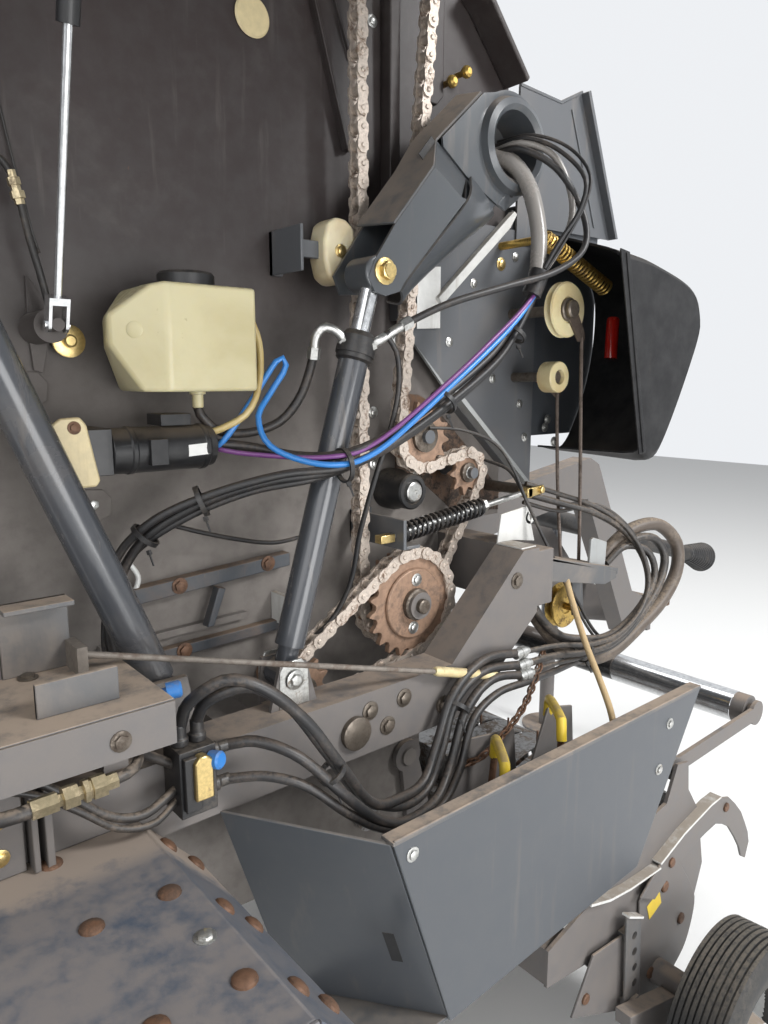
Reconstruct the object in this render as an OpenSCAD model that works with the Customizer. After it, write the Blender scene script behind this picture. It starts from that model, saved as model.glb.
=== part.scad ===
// Round baler: a towed machine that rolls hay or straw into a round bale between belts.
// Lengths in mm. Drawn from the axle centre (X forward, Y left, Z up from the ground),
// then moved so that the towing eye's bore centre is the origin.

/* [Towing eye] */
// Eye ahead of the axle
eye_x = 3450; // [3200:3700]
// Height of the eye above the ground
eye_z = 560; // [500:620]
// Bore radius of the eye
eye_bore_r = 25; // [20:30]
// Thickness of the eye ring along its bore
eye_len = 30; // [25:40]

/* [Wheels] */
// Height of the wheel axis
axle_z = 437; // [400:480]
// Room between a tyre and the frame rail
tyre_room = 20; // [15:100]
// Width of a tyre
tyre_width = 400; // [350:450]
// Radius of a rim at its flange
rim_r = 216; // [200:230]
// Radius of a stub axle
stub_r = 35; // [30:40]
// Gap between a stub axle and its hub
hub_gap = 0.4; // [0.3:0.1:1]

/* [Bale chamber] */
// Chamber centre ahead of the axle
bale_x = 80; // [40:120]
// Chamber centre above the ground
bale_z = 1520; // [1480:1560]
// Radius of the full bale
bale_r = 830; // [800:850]
// Half of the width between the side sheets
sheet_in = 610; // [600:630]
// Thickness of a side sheet
sheet_t = 10; // [6:12]
// Number of belts across
belt_n = 5; // [3:7]
// Width of one belt
belt_w = 218; // [180:230]
// Gap between two belts
belt_gap = 24; // [15:40]
// Thickness of a belt
belt_t = 8; // [6:10]
// Line where tailgate and front body part
split_x = 290; // [270:310]
// Gap between tailgate and front body
split_gap = 10; // [6:15]

/* [Tailgate] */
// Hinge ahead of the axle
hinge_x = 420; // [400:440]
// Hinge above the ground
hinge_z = 2520; // [2480:2560]
// Radius of the hinge pin
hinge_r = 25; // [20:30]
// Radius of the shell round its corner rollers
shell_r = 100; // [90:120]
// Thickness of the shell
shell_t = 6; // [4:8]

/* [Frame] */
// Outer face of a frame rail
rail_out = 880; // [860:890]
// Width of a frame rail
rail_w = 80; // [70:90]
// Underside of a frame rail
rail_z = 960; // [940:980]
// Height of a frame rail
rail_h = 115; // [100:130]

/* [Rams] */
// Plane of the tailgate rams
ram_y = 780; // [770:790]
// Radius of a ram barrel
ram_r = 30; // [25:32]
// Radius of a ram rod
ram_rod_r = 17; // [14:20]
// Radius of a ram pin
ram_pin_r = 15; // [12:18]
// Sliding gap of pins and rods
pin_gap = 0.3; // [0.2:0.1:0.8]

/* [Side covers] */
// Hinge line of a cover from the centre line
cover_y = 650; // [645:655]
// Hinge line of a cover above the ground
cover_z = 2610; // [2600:2620]
// Angle from shut to open
cover_open = 57; // [50:60]
// Thickness of a cover's skin
cover_t = 6; // [4:8]

/* [Chain drive] */
// Pitch of the roller chain
pitch = 31.75; // [25.4:0.05:38.1]
// Width of a chain over its plates
chain_w = 38; // [34:42]
// Middle plane of the main chain
chain_y = 690; // [680:700]
// Middle plane of the lower chain
chain2_y = 741; // [735:750]
// Half height of a chain plate at its pins
plate_h = 14; // [12:16]
// Half height of a chain plate at its waist
waist_h = 10; // [8:12]

/* [Pickup] */
// Pickup pivot ahead of the axle
pick_x = 1250; // [1230:1270]
// Pickup pivot above the ground
pick_z = 750; // [730:770]
// Reel axis ahead of the axle
reel_x = 1650; // [1620:1680]
// Reel axis above the ground
reel_z = 420; // [400:440]
// Reach of the tine tips
tine_r = 290; // [280:300]
// Radius of the stripper bands
band_r = 240; // [235:250]
// Spacing of the tines
tine_step = 100; // [90:110]
// Half of the width between the pickup's side plates
pick_in = 1035; // [1030:1040]
// Radius of a gauge wheel
gauge_r = 210; // [200:220]

/* [Hidden] */

// Helpers: shapes that several pieces use
function pmod(v) = v - 360 * floor(v / 360);
// A wheel is [x, z, radius, turn]: turn 1 is passed clockwise, -1 the other way.
function sgn(w) = w[2] * w[3];
function tang(a, b) = let (d = [b[0] - a[0], b[1] - a[1]])
  atan2(d[1], d[0]) - asin((sgn(a) - sgn(b)) / norm(d));
function off(w, al, d) = [w[0], w[1]] + (sgn(w) + d) * [-sin(al), cos(al)];
function sweep(a, b, t) = t > 0 ? pmod(a - b) : pmod(b - a);
// Points of a band round the wheels, moved outwards by d, a point every st degrees on arcs.
function band(ws, d, st) = let (n = len(ws)) [for (i = [0 : n - 1])
  let (p = ws[(i + n - 1) % n], w = ws[i], q = ws[(i + 1) % n],
       a = tang(p, w), b = tang(w, q), s = sweep(a, b, w[3]), m = max(1, ceil(s / st)))
  for (k = [0 : m]) off(w, a - w[3] * s * k / m, d)];
// Pieces of the path: [kind, length, data].
function legs(ws) = let (n = len(ws)) [for (i = [0 : n - 1])
  let (p = ws[(i + n - 1) % n], w = ws[i], q = ws[(i + 1) % n],
       a = tang(p, w), b = tang(w, q), s = sweep(a, b, w[3]), e = off(w, b, 0), f = off(q, b, 0))
  for (k = [0, 1]) k == 0 ? [0, s * PI / 180 * w[2], w, a] : [1, norm(f - e), e, b]];
function sums(v, i = 0, t = 0, out = [0]) = i == len(v) ? out
  : sums(v, i + 1, t + v[i][1], concat(out, [t + v[i][1]]));
function spot(g, u, d) = g[0] == 0
  ? let (al = g[3] - g[2][3] * u / g[2][2] * 180 / PI) off(g[2], al, d)
  : g[2] + u * [cos(g[3]), sin(g[3])] + d * [-sin(g[3]), cos(g[3])];
// Waved outline of a chain: bulges at the pins, waists between them.
function wave(ws, side) = let (g = legs(ws), c = sums(g), total = c[len(c) - 1],
  n = round(total / pitch))
  [for (k = [0 : 2 * n - 1]) let (s = k * total / (2 * n),
    j = [for (i = [0 : len(g) - 1]) if (c[i] <= s && s < c[i + 1]) i][0])
    spot(g[j], s - c[j], side * (k % 2 == 0 ? plate_h : waist_h))];

module frame() { translate([-eye_x, 0, -eye_z]) children(); }
module slab(y0, y1) { translate([0, y1, 0]) rotate([90, 0, 0]) linear_extrude(height = y1 - y0) children(); }
module hand(right) { if (right) mirror([0, 1, 0]) children(); else children(); }
module bar(a, b, r, n = 24) {
  v = b - a;
  translate(a) rotate([0, acos(v.z / norm(v)), atan2(v.y, v.x)]) cylinder(h = norm(v), r = r, $fn = n);
}
module roller(x, z, r, half) { translate([x, half, z]) rotate([90, 0, 0]) cylinder(h = 2 * half, r = r, $fn = 48); }
module disc(x, z, r, y0, y1, n = 36) { translate([x, y1, z]) rotate([90, 0, 0]) cylinder(h = y1 - y0, r = r, $fn = n); }
module box(a, b) { translate(a) cube(b - a); }
// A flat plate between four corners, t thick along n.
module plate4(p, n) {
  polyhedron(points = concat(p, [for (q = p) q + n]),
    faces = [[0, 1, 2, 3], [7, 6, 5, 4], [0, 4, 5, 1], [1, 5, 6, 2], [2, 6, 7, 3], [3, 7, 4, 0]]);
}
// A tube along points, with s sides.
function ring(p, t, r, s, k = 0) = let (u = abs(t.z) < 0.9 ? [0, 0, 1] : [1, 0, 0],
  a = cross(t, u) / norm(cross(t, u)), b = cross(a, t)) [for (i = [0 : s - 1])
  p + r * (cos(360 * i / s) * a + sin(360 * i / s) * b)];
function unit(v) = v / norm(v);
function spline(p, m) = let (n = len(p)) concat([for (i = [0 : n - 2]) for (k = [0 : m - 1])
  let (a = p[max(i - 1, 0)], b = p[i], c = p[i + 1], d = p[min(i + 2, n - 1)], t = k / m)
  0.5 * (2 * b + (c - a) * t + (2 * a - 5 * b + 4 * c - d) * t * t + (3 * b - a - 3 * c + d) * t * t * t)],
  [p[n - 1]]);
module hose(pts, r, m = 4, s = 8) {
  q = spline(pts, m);
  n = len(q);
  tan = [for (i = [0 : n - 1]) unit(q[min(i + 1, n - 1)] - q[max(i - 1, 0)])];
  polyhedron(points = [for (i = [0 : n - 1]) each ring(q[i], tan[i], r, s)],
    faces = concat([[for (i = [s - 1 : -1 : 0]) i]],
      [for (i = [0 : n - 2]) for (k = [0 : s - 1]) [i * s + k, i * s + (k + 1) % s,
        (i + 1) * s + (k + 1) % s, (i + 1) * s + k]],
      [[for (i = [0 : s - 1]) (n - 1) * s + i]]));
}

// Places that several pieces share
sheet_out = sheet_in + sheet_t;
track_half = rail_out + tyre_room + tyre_width / 2;
pick_back = reel_x - tine_r - 10;
pto_z = 1320;
pto_way = 55;
rail_in = rail_out - rail_w;
rail_top = rail_z + rail_h;
// A roller at an angle round the full bale, with a gap from the bale to its axis.
function by_bale(a, gap, r) = [bale_x + (bale_r + gap) * cos(a), bale_z + (bale_r + gap) * sin(a), r, 1];
A1 = by_bale(-27.57, 185.3, 60);
U1 = by_bale(70.43, 125.2, 55);
U2 = by_bale(30.89, 591.7, 60);
D1 = [890, 880, 95];
D2 = [620, 700, 90];
D3 = [420, 650, 70];
V1 = by_bale(82.25, 60.1, 55);
V2 = by_bale(-81.03, 81.1, 55);
V3 = by_bale(-115.54, 167.4, 55);
V4 = by_bale(-175.91, 152.5, 55);
V5 = by_bale(123.2, 138.0, 55);
bale = [bale_x, bale_z, bale_r, -1];
front_loop = [A1, bale, U1, U2];
rear_loop = [V1, bale, V2, V3, V4, V5];
shaft_x = 1160;
shaft_z = 1165;
S0 = [shaft_x, shaft_z, 90, 1];
S1 = [1165, 2480, 95, 1];
E1 = [1236, 1501, 67, -1];
T1 = [1368, 1415, 45, 1];
main_loop = [S0, S1, E1, T1];
SA = [shaft_x, shaft_z, 106, 1];
SB = [885, 1050, 56, 1];
lower_loop = [SA, SB];
ram_low = [600, 1140];
ram_top = [177, 2210];
arm_head = [1379, 2068];
arm_tail = [1008, 1802];
ten_low = [806, 1123];
stud = [500, 720, 1695];
strut_top = [500, 1023.6, 2521];
feed_x = 1130;
feed_z = 640;
feed_r = 30.5;
shaft_r = 28;
ten_y = 809;
cover_pin_r = 8;
cover_back = 290;
strut_shut = [779, 2248];
beam_x = 1355;
bar_x = 1430;
bar_y = 450;
bar_turn = 12.2;
jack_x = 2900;
jack_y = 222;
gauge_x = 1690;
pto_from = [1690, 0, pto_z];
pto_dir = [2280, 0, -640] / norm([2280, 0, -640]);

// Chassis pieces
module frame_rail(right) {
  color("#3a4046") frame() hand(right) {
    slab(rail_in, rail_out) polygon([[-300, rail_z], [1200, rail_z], [1400, 1130], [1400, 1270],
      [1350, 1270], [1145, rail_top], [-300, rail_top]]);
    slab(rail_in, rail_out) translate([-60, 487]) square([120, rail_z - 487]);
    // lugs for the tailgate ram and the tension ram
    difference() {
      slab(812, 824) polygon([[560, rail_top], [640, rail_top], [625, 1170], [575, 1170]]);
      disc(ram_low[0], ram_low[1], ram_pin_r, 800, 830);
    }
    disc(ram_low[0], ram_low[1], ram_pin_r, 752, 836);
    slab(776, 784) polygon([[770, 1040], [842, 1040], [832, 1150], [780, 1150]]);
    slab(784, rail_in) translate([775, 1040]) square([60, 30]);
    slab(834, 842) polygon([[760, rail_top], [852, rail_top], [832, 1150], [780, 1150]]);
    disc(ten_low[0], ten_low[1], 12, 784, 846);
  }
}
module frame_rail_right() { frame_rail(true); }
module frame_rail_left() { frame_rail(false); }
module axle() {
  color("#33383d") frame() {
    box([-50, -rail_out, 387], [50, rail_out, 487]);
    for (s = [-1, 1]) translate([0, s * rail_out, axle_z]) rotate([-90 * s, 0, 0])
      cylinder(h = 215, r = stub_r, $fn = 40);
  }
}

module side_sheet(right) {
  color("#2f3337") frame() hand(right) {
    slab(sheet_in, sheet_out) difference() {
      polygon([[split_x + split_gap, 590], [900, 560], [1130, 520], [1300, 560], [1300, 1100], [beam_x, 1140],
        [beam_x, 1290],
        [1560, 1290], [1560, 2270], [1430, 2400], [1150, 2590], [440, 2590],
        [380, 2560], [split_x + split_gap, 2440]]);
      translate([shaft_x, shaft_z]) circle(r = shaft_r + 4, $fn = 40);
      translate([feed_x, feed_z]) circle(r = feed_r + 1, $fn = 40);
    }
    disc(hinge_x, hinge_z, hinge_r, sheet_out, sheet_out + 30);
    disc(pick_x, pick_z, 20, sheet_out, sheet_out + 24);
    // stud of the cover's gas strut
    disc(stud.x, stud.z, 24, sheet_out, 700);
    disc(stud.x, stud.z, 9, 700, 732);
    // stubs to the frame rail
    for (x = [350, 700]) box([x, sheet_out, 985], [x + 70, rail_in, 1050]);
    // stiffening rails on the sheet
    slab(sheet_out, 640) polygon([[615, 1252], [925, 1266], [925, 1280], [615, 1266]]);
    slab(sheet_out, 634) polygon([[560, 1165], [838, 1172], [838, 1184], [560, 1177]]);
    // lugs and pin of the cover's hinge
    for (x = [560, 1060]) {
      box([x, sheet_out, 2540], [x + 30, cover_y + 12, 2586]);
      box([x, cover_y - 10, 2586], [x + 30, cover_y + 10, 2604]);
      translate([x, cover_y, cover_z]) rotate([0, 90, 0]) cylinder(h = 30, r = 11, $fn = 32);
    }
    bar([545, cover_y, cover_z], [1105, cover_y, cover_z], cover_pin_r);
  }
}
module side_sheet_right() { side_sheet(true); }
module side_sheet_left() { side_sheet(false); }
module body_panels() {
  w = sheet_in - 0.3;
  color("#2f3337") frame() {
    difference() {
      slab(-w, w) polygon([[440, 2584], [1148, 2584], [1427, 2394], [1554, 2268], [1554, 1300], [1560, 1300],
        [1560, 2270], [1430, 2400], [1150, 2590], [440, 2590]]);
      box([1540, -pto_way, 1290], [1580, pto_way, pto_z + pto_way]);
    }
    // pan under the feed rotor
    slab(-w, w) difference() {
      translate([feed_x, feed_z]) circle(r = 186, $fn = 64);
      translate([feed_x, feed_z]) circle(r = 180, $fn = 64);
      translate([feed_x - 300, feed_z - 60]) square([600, 400]);
      translate([feed_x + 60, feed_z - 300]) square([300, 400]);
    }
  }
}
module front_panels() {
  color("#4a5157") frame() for (s = [0, 1]) hand(s == 1) {
    slab(640, 646) polygon([[1206, 1740], [1370, 1572], [1648, 1329], [1650, 1960], [1330, 1960], [1206, 1836]]);
    // tall plate beside the net box's lid, with its folded edge
    slab(645, 651) polygon([[1566, 1930], [1644, 1930], [1650, 1974], [1941, 1979], [1797, 2303], [1716, 2262],
      [1566, 2268]]);
    slab(651, 668) polygon([[1941, 1979], [1797, 2303], [1791, 2300], [1934, 1979]]);
    slab(sheet_out, 640) polygon([[1370, 1572], [1560, 1406], [1560, 1414], [1374, 1577]]);
    slab(sheet_out, 640) polygon([[1206, 1740], [1212, 1740], [1212, 1834], [1332, 1954], [1330, 1960], [1206, 1836]]);
    // carriers of the chain's idlers
    if (s == 1) {
      disc(T1[0], T1[1], 12, sheet_out, 720, 20);
      disc(E1[0], E1[1], 14, sheet_out, 716, 20);
    }
  }
}
module net_box() {
  color("#2f3337") frame() difference() {
    box([1560, -639.7, 1480], [1900, 639.7, 2004.6]);
    box([1582, -630, 1486], [1894, 630, 2010]);
  }
}
module net_box_lid() {
  color("#2a2e32") frame() {
    box([1572, -639, 2009], [1912, 639, 2015]);
    box([1906, -639, 1980], [1912, 639, 2009]);
    for (y = [-500, 460]) translate([1572, y, 2012]) rotate([-90, 0, 0]) cylinder(h = 40, r = 7, $fn = 24);
  }
}
// the hood narrows outwards; its rear side stays open
module hoods() {
  color("#3a4046") frame() for (s = [0, 1]) hand(s == 1) difference() {
    hull() {
      slab(640, 641) polygon([[1655, 1968], [1720, 1960], [1860, 1880], [1905, 1790], [1880, 1610], [1790, 1450],
        [1680, 1450]]);
      slab(930, 942) polygon([[1545, 1880], [1680, 1868], [1842, 1830], [1895, 1775], [1885, 1690], [1745, 1450],
        [1657, 1455]]);
    }
    hull() {
      slab(639, 641) polygon([[1400, 1962], [1718, 1953], [1854, 1876], [1897, 1789], [1872, 1612], [1785, 1457],
        [1400, 1457]]);
      slab(930, 936) polygon([[1400, 1874], [1679, 1861], [1837, 1824], [1887, 1773], [1877, 1693], [1741, 1462],
        [1400, 1462]]);
    }
  }
}
module chamber_rollers() {
  color("#6b6f72") frame()
    for (w = [A1, U1, U2, D1, D2, D3]) roller(w[0], w[1], w[2], sheet_in - 0.3);
}
module belts(ws) {
  total = belt_n * belt_w + (belt_n - 1) * belt_gap;
  for (k = [0 : belt_n - 1]) {
    y = -total / 2 + k * (belt_w + belt_gap);
    slab(y, y + belt_w) difference() {
      polygon(band(ws, belt_t + 0.3, 9));
      polygon(band(ws, 0.3, 9));
    }
  }
}
module front_belts() { color("#25272a") frame() belts(front_loop); }
module rear_belts() { color("#25272a") frame() belts(rear_loop); }
module gearbox() {
  color("#2d3236") frame() {
    box([1120, -110, 1060], [1300, 110, 1240]);
    box([1165, -110, 1240], [beam_x, 110, 1385]);
    box([1300, -95, 1160], [beam_x, 95, 1240]);
    translate([beam_x, 0, pto_from.z]) rotate([0, 90, 0]) cylinder(h = 30, r = 48, $fn = 40);
    translate([beam_x + 30, 0, pto_from.z]) rotate([0, 90, 0]) cylinder(h = pto_from.x - beam_x - 30, r = 25, $fn = 40);
    translate([shaft_x, 110, shaft_z]) rotate([-90, 0, 0]) cylinder(h = 530, r = shaft_r, $fn = 40);
    translate([shaft_x, -110, shaft_z]) rotate([90, 0, 0]) cylinder(h = 665, r = shaft_r, $fn = 40);
  }
}
module teeth(w, d, rim) {
  n = round(2 * PI * w[2] / pitch);
  r = w[2] - plate_h - d;
  translate([w[0], w[1]]) polygon([for (i = [0 : n - 1]) for (k = [0 : 3])
    let (a = 360 * (i + [0, 0.3, 0.45, 0.85][k]) / n, q = [r, r, r - rim, r - rim][k]) q * [cos(a), sin(a)]]);
}
module sprocket(w, y, bore) {
  difference() {
    slab(y - 8, y + 8) teeth(w, 0.4, 5);
    disc(w[0], w[1], bore, y - 30, y + 30);
  }
}
module sprockets() {
  color("#6e4a36") frame() mirror([0, 1, 0]) {
    sprocket(S0, chain_y, shaft_r + 0.3);
    sprocket(E1, chain_y, 14.3);
    sprocket(T1, chain_y, 12.3);
    slab(chain_y - 8, chain_y + 8) teeth(S1, 0.4, 5);
    disc(S1[0], S1[1], 28, sheet_out, chain_y - 8);
    difference() {
      union() {
        slab(chain2_y - 8, chain2_y + 8) teeth(SA, 0.4, 5);
        disc(SA[0], SA[1], 48, chain2_y + 8, chain2_y + 20);
        disc(SA[0], SA[1], 45, chain_y + 8.3, chain2_y - 8);
      }
      disc(SA[0], SA[1], shaft_r + 0.3, 600, 800);
    }
    slab(chain2_y - 8, chain2_y + 8) teeth(SB, 0.4, 5);
    disc(SB[0], SB[1], 22, sheet_out, chain2_y - 8);
  }
}
module chain(ws, y) {
  mirror([0, 1, 0]) slab(y - chain_w / 2, y + chain_w / 2) difference() {
    polygon(wave(ws, 1));
    polygon(wave(ws, -1));
  }
}
module drive_chains() {
  color("#5a4636") frame() {
    chain(main_loop, chain_y);
    chain(lower_loop, chain2_y);
  }
}
// Small parts of the drive side: chain rubbing block, tensioner, control pulleys, rods and brackets.
module linkage_right() {
  color("#8d8a80") frame() mirror([0, 1, 0]) {
    slab(672, 724) polygon([[968, 1846], [978, 1794], [1030, 1800], [1040, 1846], [1030, 1892], [978, 1898]]);
    box([930, sheet_out + 0.3, 1812], [938, 724, 1880]);
    box([930, 700, 1838], [970, 712, 1854]);
    disc(1202, 1387, 32, sheet_out + 0.3, 702);
    disc(1202, 1387, 14, 702, 712, 20);
    // chain tensioner
    box([1100, sheet_out + 0.3, 1296], [1108, 790, 1344]);
    bar([1090, 760, 1317], [1520, 760, 1367], 7, 14);
    bar([1108.3, 760, 1319], [1346, 760, 1347], 19, 20);
    disc(1515, 1366, 10, sheet_out + 0.3, 752, 20);
    slab(752, 768) polygon([[1494, 1350], [1538, 1356], [1536, 1380], [1492, 1374]]);
    // pulley and roller on their studs
    disc(1561, 1770, 11, 646.3, 822, 20);
    disc(1561, 1770, 58, 786, 810, 40);
    disc(1576, 1624, 9, 646.3, 782, 20);
    disc(1576, 1624, 35, 744, 776, 32);
    slab(812, 818) polygon([[1550, 1757], [1594, 1702], [1616, 1706], [1614, 1722], [1574, 1782]]);
    slab(732, 738) polygon([[1566, 1616], [1624, 1578], [1642, 1582], [1640, 1596], [1584, 1636]]);
    bar([1631, 735, 1587], [1612, 780, 1180], 5, 10);
    bar([1606, 815, 1712], [1655, 800, 1170], 5, 10);
    // coil spring of the control
    bar([1518, 770, 1919], [1725, 790, 1830], 15, 16);
    disc(1518, 1919, 9, 646.3, 785, 16);
    // shelf ahead of the frame rail, with its upright and the cord pulley below
    slab(801, 872) polygon([[1400.3, 1250], [1400.3, 1222], [1408, 1222], [1408, 1241], [1705, 1166], [1705, 1159],
      [1712, 1158], [1712, 1174]]);
    slab(762, 801) polygon([[1436, 1241], [1436, 1234], [1705, 1166], [1705, 1159], [1712, 1158], [1712, 1174]]);
    slab(844, 850) polygon([[1630, 1192], [1690, 1177], [1690, 1236], [1640, 1252]]);
    slab(764, 770) polygon([[1670, 1172], [1712, 1162], [1728, 1035], [1684, 1035]]);
    disc(1705, 1047, 9, 700, 764, 16);
    disc(1705, 1047, 52, 706, 734, 36);
    // light plate on the end of the rail
    slab(802, 872) polygon([[1352, 1270.3], [1399, 1270.3], [1399, 1274], [1352, 1274]]);
    slab(802, 806) polygon([[1352, 1274], [1399, 1274], [1476, 1262], [1448, 1345], [1362, 1335]]);
    // long thin rod in its sleeve
    disc(1248, 1032, 13, rail_out + 0.3, 906, 16);
    bar([1248, 900, 1032], [1080, 900, 1084], 9, 14);
    bar([1090, 900, 1080], [464, 850, 1252], 5, 10);
    box([456, 807.3, 1222.3], [468, 858, 1262]);
  }
}
module hoses_right() {
  // each end runs straight over three points, so that it sits square on its seat
  color("#1a1b1c") frame() mirror([0, 1, 0]) {
    hose([[1372, 790, 2066], [1377, 850, 2062], [1384, 898, 2030], [1389, 908, 1960], [1391, 904, 1880],
      [1388, 886, 1810], [1366, 872, 1757], [1320, 866, 1716], [1250, 864, 1672], [1122, 864, 1598],
      [1000, 866, 1540], [915, 866, 1507], [858, 834, 1500], [824, 768, 1508], [792, 722, 1512],
      [762, 722, 1512], [731.5, 722, 1512]], 15, 4, 8);
    hose([[1180, 864, 1632], [1074, 864, 1540], [960, 864, 1496], [860, 856, 1476], [760, 800, 1452],
      [660, 720, 1405], [590, 682, 1340], [560, 674, 1240], [560, 676, 1130], [578, 694, 1050],
      [590, 724, 1030], [590, 762, 1030], [590, 799.5, 1030]], 13, 4, 8);
    hose([[1400.5, 840, 1162], [1424, 840, 1162], [1448, 840, 1162], [1490, 848, 1082], [1545, 858, 1004],
      [1610, 866, 968], [1700, 874, 968], [1800, 882, 1010], [1900, 886, 1062], [1962, 886, 1130],
      [1968, 876, 1200], [1920, 856, 1252], [1856, 832, 1246], [1808, 816, 1186], [1776, 815, 1168],
      [1744, 815, 1168], [1712.5, 815, 1168]], 17, 4, 8);
  }
}
module tension_arms() {
  color("#4a5157") frame() for (s = [0, 1]) hand(s == 1) {
    difference() {
      union() {
        slab(730, 880) union() {
          polygon([[1322, 2145], [1395, 2163], [1470, 2095], [1452, 2008], [1400, 1972], [1040, 1770],
            [975, 1786], [985, 1840]]);
          translate(arm_head) circle(r = 95, $fn = 48);
          translate(arm_tail) circle(r = 42, $fn = 36);
        }
        disc(arm_head[0], arm_head[1], 78, sheet_out, 730, 48);
      }
      disc(arm_head[0], arm_head[1], 64, sheet_out - 1, 900, 48);
      slab(782, 836) union() {
        translate(arm_tail) circle(r = 62, $fn = 36);
        polygon([[940, 1690], [1080, 1690], [1090, 1800], [1040, 1850], [950, 1850]]);
      }
    }
    disc(arm_tail[0], arm_tail[1], 12, 770, 892);
  }
}
ten_len = norm(arm_tail - ten_low);
ten_dir = (arm_tail - ten_low) / ten_len;
function ten_at(s) = [ten_low[0] + ten_dir[0] * s, ten_y, ten_low[1] + ten_dir[1] * s];
module tension_cylinders() {
  color("#4a4f54") frame() for (s = [0, 1]) hand(s == 1) difference() {
    union() {
      bar(ten_at(18), ten_at(52), 19);
      bar(ten_at(50), ten_at(560), ram_r - 4);
      bar(ten_at(560), ten_at(600), ram_r);
      bar(ten_at(600), ten_at(ten_len - 15), ram_rod_r);
      disc(ten_low[0], ten_low[1], 25, ten_y - 23, ten_y + 23);
      disc(arm_tail[0], arm_tail[1], 25, ten_y - 23, ten_y + 23);
    }
    disc(ten_low[0], ten_low[1], 12 + pin_gap, 700, 900);
    disc(arm_tail[0], arm_tail[1], 12 + pin_gap, 700, 900);
  }
}
module oil_tank() {
  color("#d8cfa0") frame() mirror([0, 1, 0]) {
    slab(645, 800) polygon([[563, 1668], [600, 1600], [780, 1600], [780, 1760], [625, 1760], [563, 1712]]);
    for (x = [620, 740]) box([x, sheet_out, 1640], [x + 20, 645, 1700]);
    translate([700, 722, 1760]) cylinder(h = 24, r = 42, $fn = 36);
    translate([712, 722, 1572]) cylinder(h = 28, r = 11, $fn = 20);
  }
}
module pump_and_valve() {
  color("#1f2123") frame() mirror([0, 1, 0]) {
    box([556, rail_out, 1008], [612, 935, 1108]);
    box([570, 935, 1040], [600, 948, 1090]);
    bar([530, 905, 1080], [556, 905, 1080], 14);
    translate([557, 722, 1512]) rotate([0, 90, 0]) cylinder(h = 174, r = 36, $fn = 36);
    box([548, sheet_out, 1474], [557, 762, 1562]);
    slab(756, 764) polygon([[500, 1562], [508, 1572], [548, 1572], [548, 1466], [522, 1466]]);
  }
}
module side_platform_right() {
  color("#3a4046") frame() mirror([0, 1, 0]) {
    difference() {
      box([120, 800, 1165], [523, 1007, 1222]);
      box([126, 806, 1160], [517, 1001, 1216]);
    }
    for (x = [130, 478]) box([x, 820, rail_top], [x + 35, 860, 1216]);
    slab(801, 807) polygon([[372, 1222], [461, 1222], [461, 1327], [372, 1327]]);
    slab(956, 962) polygon([[372, 1222], [470, 1222], [470, 1266], [372, 1266]]);
  }
}
module lower_guard_right() {
  y = 1106;
  color("#33383d") frame() mirror([0, 1, 0]) {
    slab(y - 6, y) polygon([[800, 955], [1695, 955], [1476, 612], [925, 580]]);
    slab(y - 26, y - 6) polygon([[800, 949], [1691, 949], [1695, 955], [800, 955]]);
    plate4([[641, rail_out, 962], [800, y - 6, 949], [925, y - 6, 586], [757, rail_out, 586]], [-6, 0, 0]);
    slab(rail_out, y - 6) polygon([[757, 580], [925, 580], [1330, 604], [1330, 610], [925, 586], [757, 586]]);
  }
}
module mudguards() {
  color("#2b3340") frame() for (s = [0, 1]) hand(s == 1) {
    slab(rail_out, 1324) polygon([[-640, 830], [-500, 994], [510, 994], [600, 890], [606, 893], [513, 1000],
      [-503, 1000], [-646, 833]]);
    slab(1324, 1330) polygon([[-646, 833], [-646, 800], [-500, 950], [505, 950], [606, 860], [606, 893],
      [513, 1000], [-503, 1000]]);
  }
}

// Drawbar pieces
module drawbar() {
  color("#4a5157") frame() {
    box([beam_x, -rail_in, 1150], [bar_x, rail_in, 1270]);
    for (s = [0, 1]) hand(s == 1) translate([bar_x, bar_y, 0]) rotate([0, 0, -bar_turn]) slab(-35, 35)
      polygon([[-10, 1156], [-10, 1264], [1050, 1340], [1130, 1310], [1560, 730], [1790, 640], [1790, 500],
        [1500, 560], [1040, 1190], [960, 1200]]);
  }
}
module drawbar_head() {
  color("#3a4046") frame() {
    box([3187.6, -105, 490], [3215, 105, 650]);
    box([3215, -45, 505], [eye_x - 160, 45, 625]);
    // rest for the parked shaft
    difference() {
      box([2960, -115, 728.3], [2975, 115, 952]);
      bar(pto_from + pto_dir * 1000, pto_from + pto_dir * 1500, 36.5, 40);
      for (s = [0, 1]) hand(s == 1) box([2950, 60, 760], [2980, 130, 1000]);
    }
  }
}
module towing_eye() {
  color("#5b5046") frame() translate([eye_x, 0, eye_z]) difference() {
    union() {
      translate([0, 0, -eye_len / 2]) cylinder(h = eye_len, r = 55, $fn = 64);
      box([-160, -30, -eye_len / 2], [-40, 30, eye_len / 2]);
    }
    translate([0, 0, -eye_len]) cylinder(h = 2 * eye_len, r = eye_bore_r, $fn = 64);
  }
}
module jack_tube() {
  color("#3a4046") frame() translate([jack_x, jack_y, 0]) {
    difference() {
      translate([0, 0, 380]) cylinder(h = 720, r = 40, $fn = 40);
      translate([0, 0, 370]) cylinder(h = 722, r = 33, $fn = 40);
    }
    difference() {
      box([-40, -44.5, 640], [40, 0, 758]);
      cylinder(h = 1200, r = 39, $fn = 40);
    }
    translate([0, 0, 1100]) cylinder(h = 20, r = 12, $fn = 24);
    bar([0, 0, 1110], [130, 0, 1110], 7);
  }
}
module jack_leg() {
  color("#7b7f82") frame() translate([jack_x, jack_y, 0]) {
    translate([0, 0, 12]) cylinder(h = 690, r = 32.6, $fn = 40);
    cylinder(h = 12, r = 110, $fn = 48);
  }
}
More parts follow.
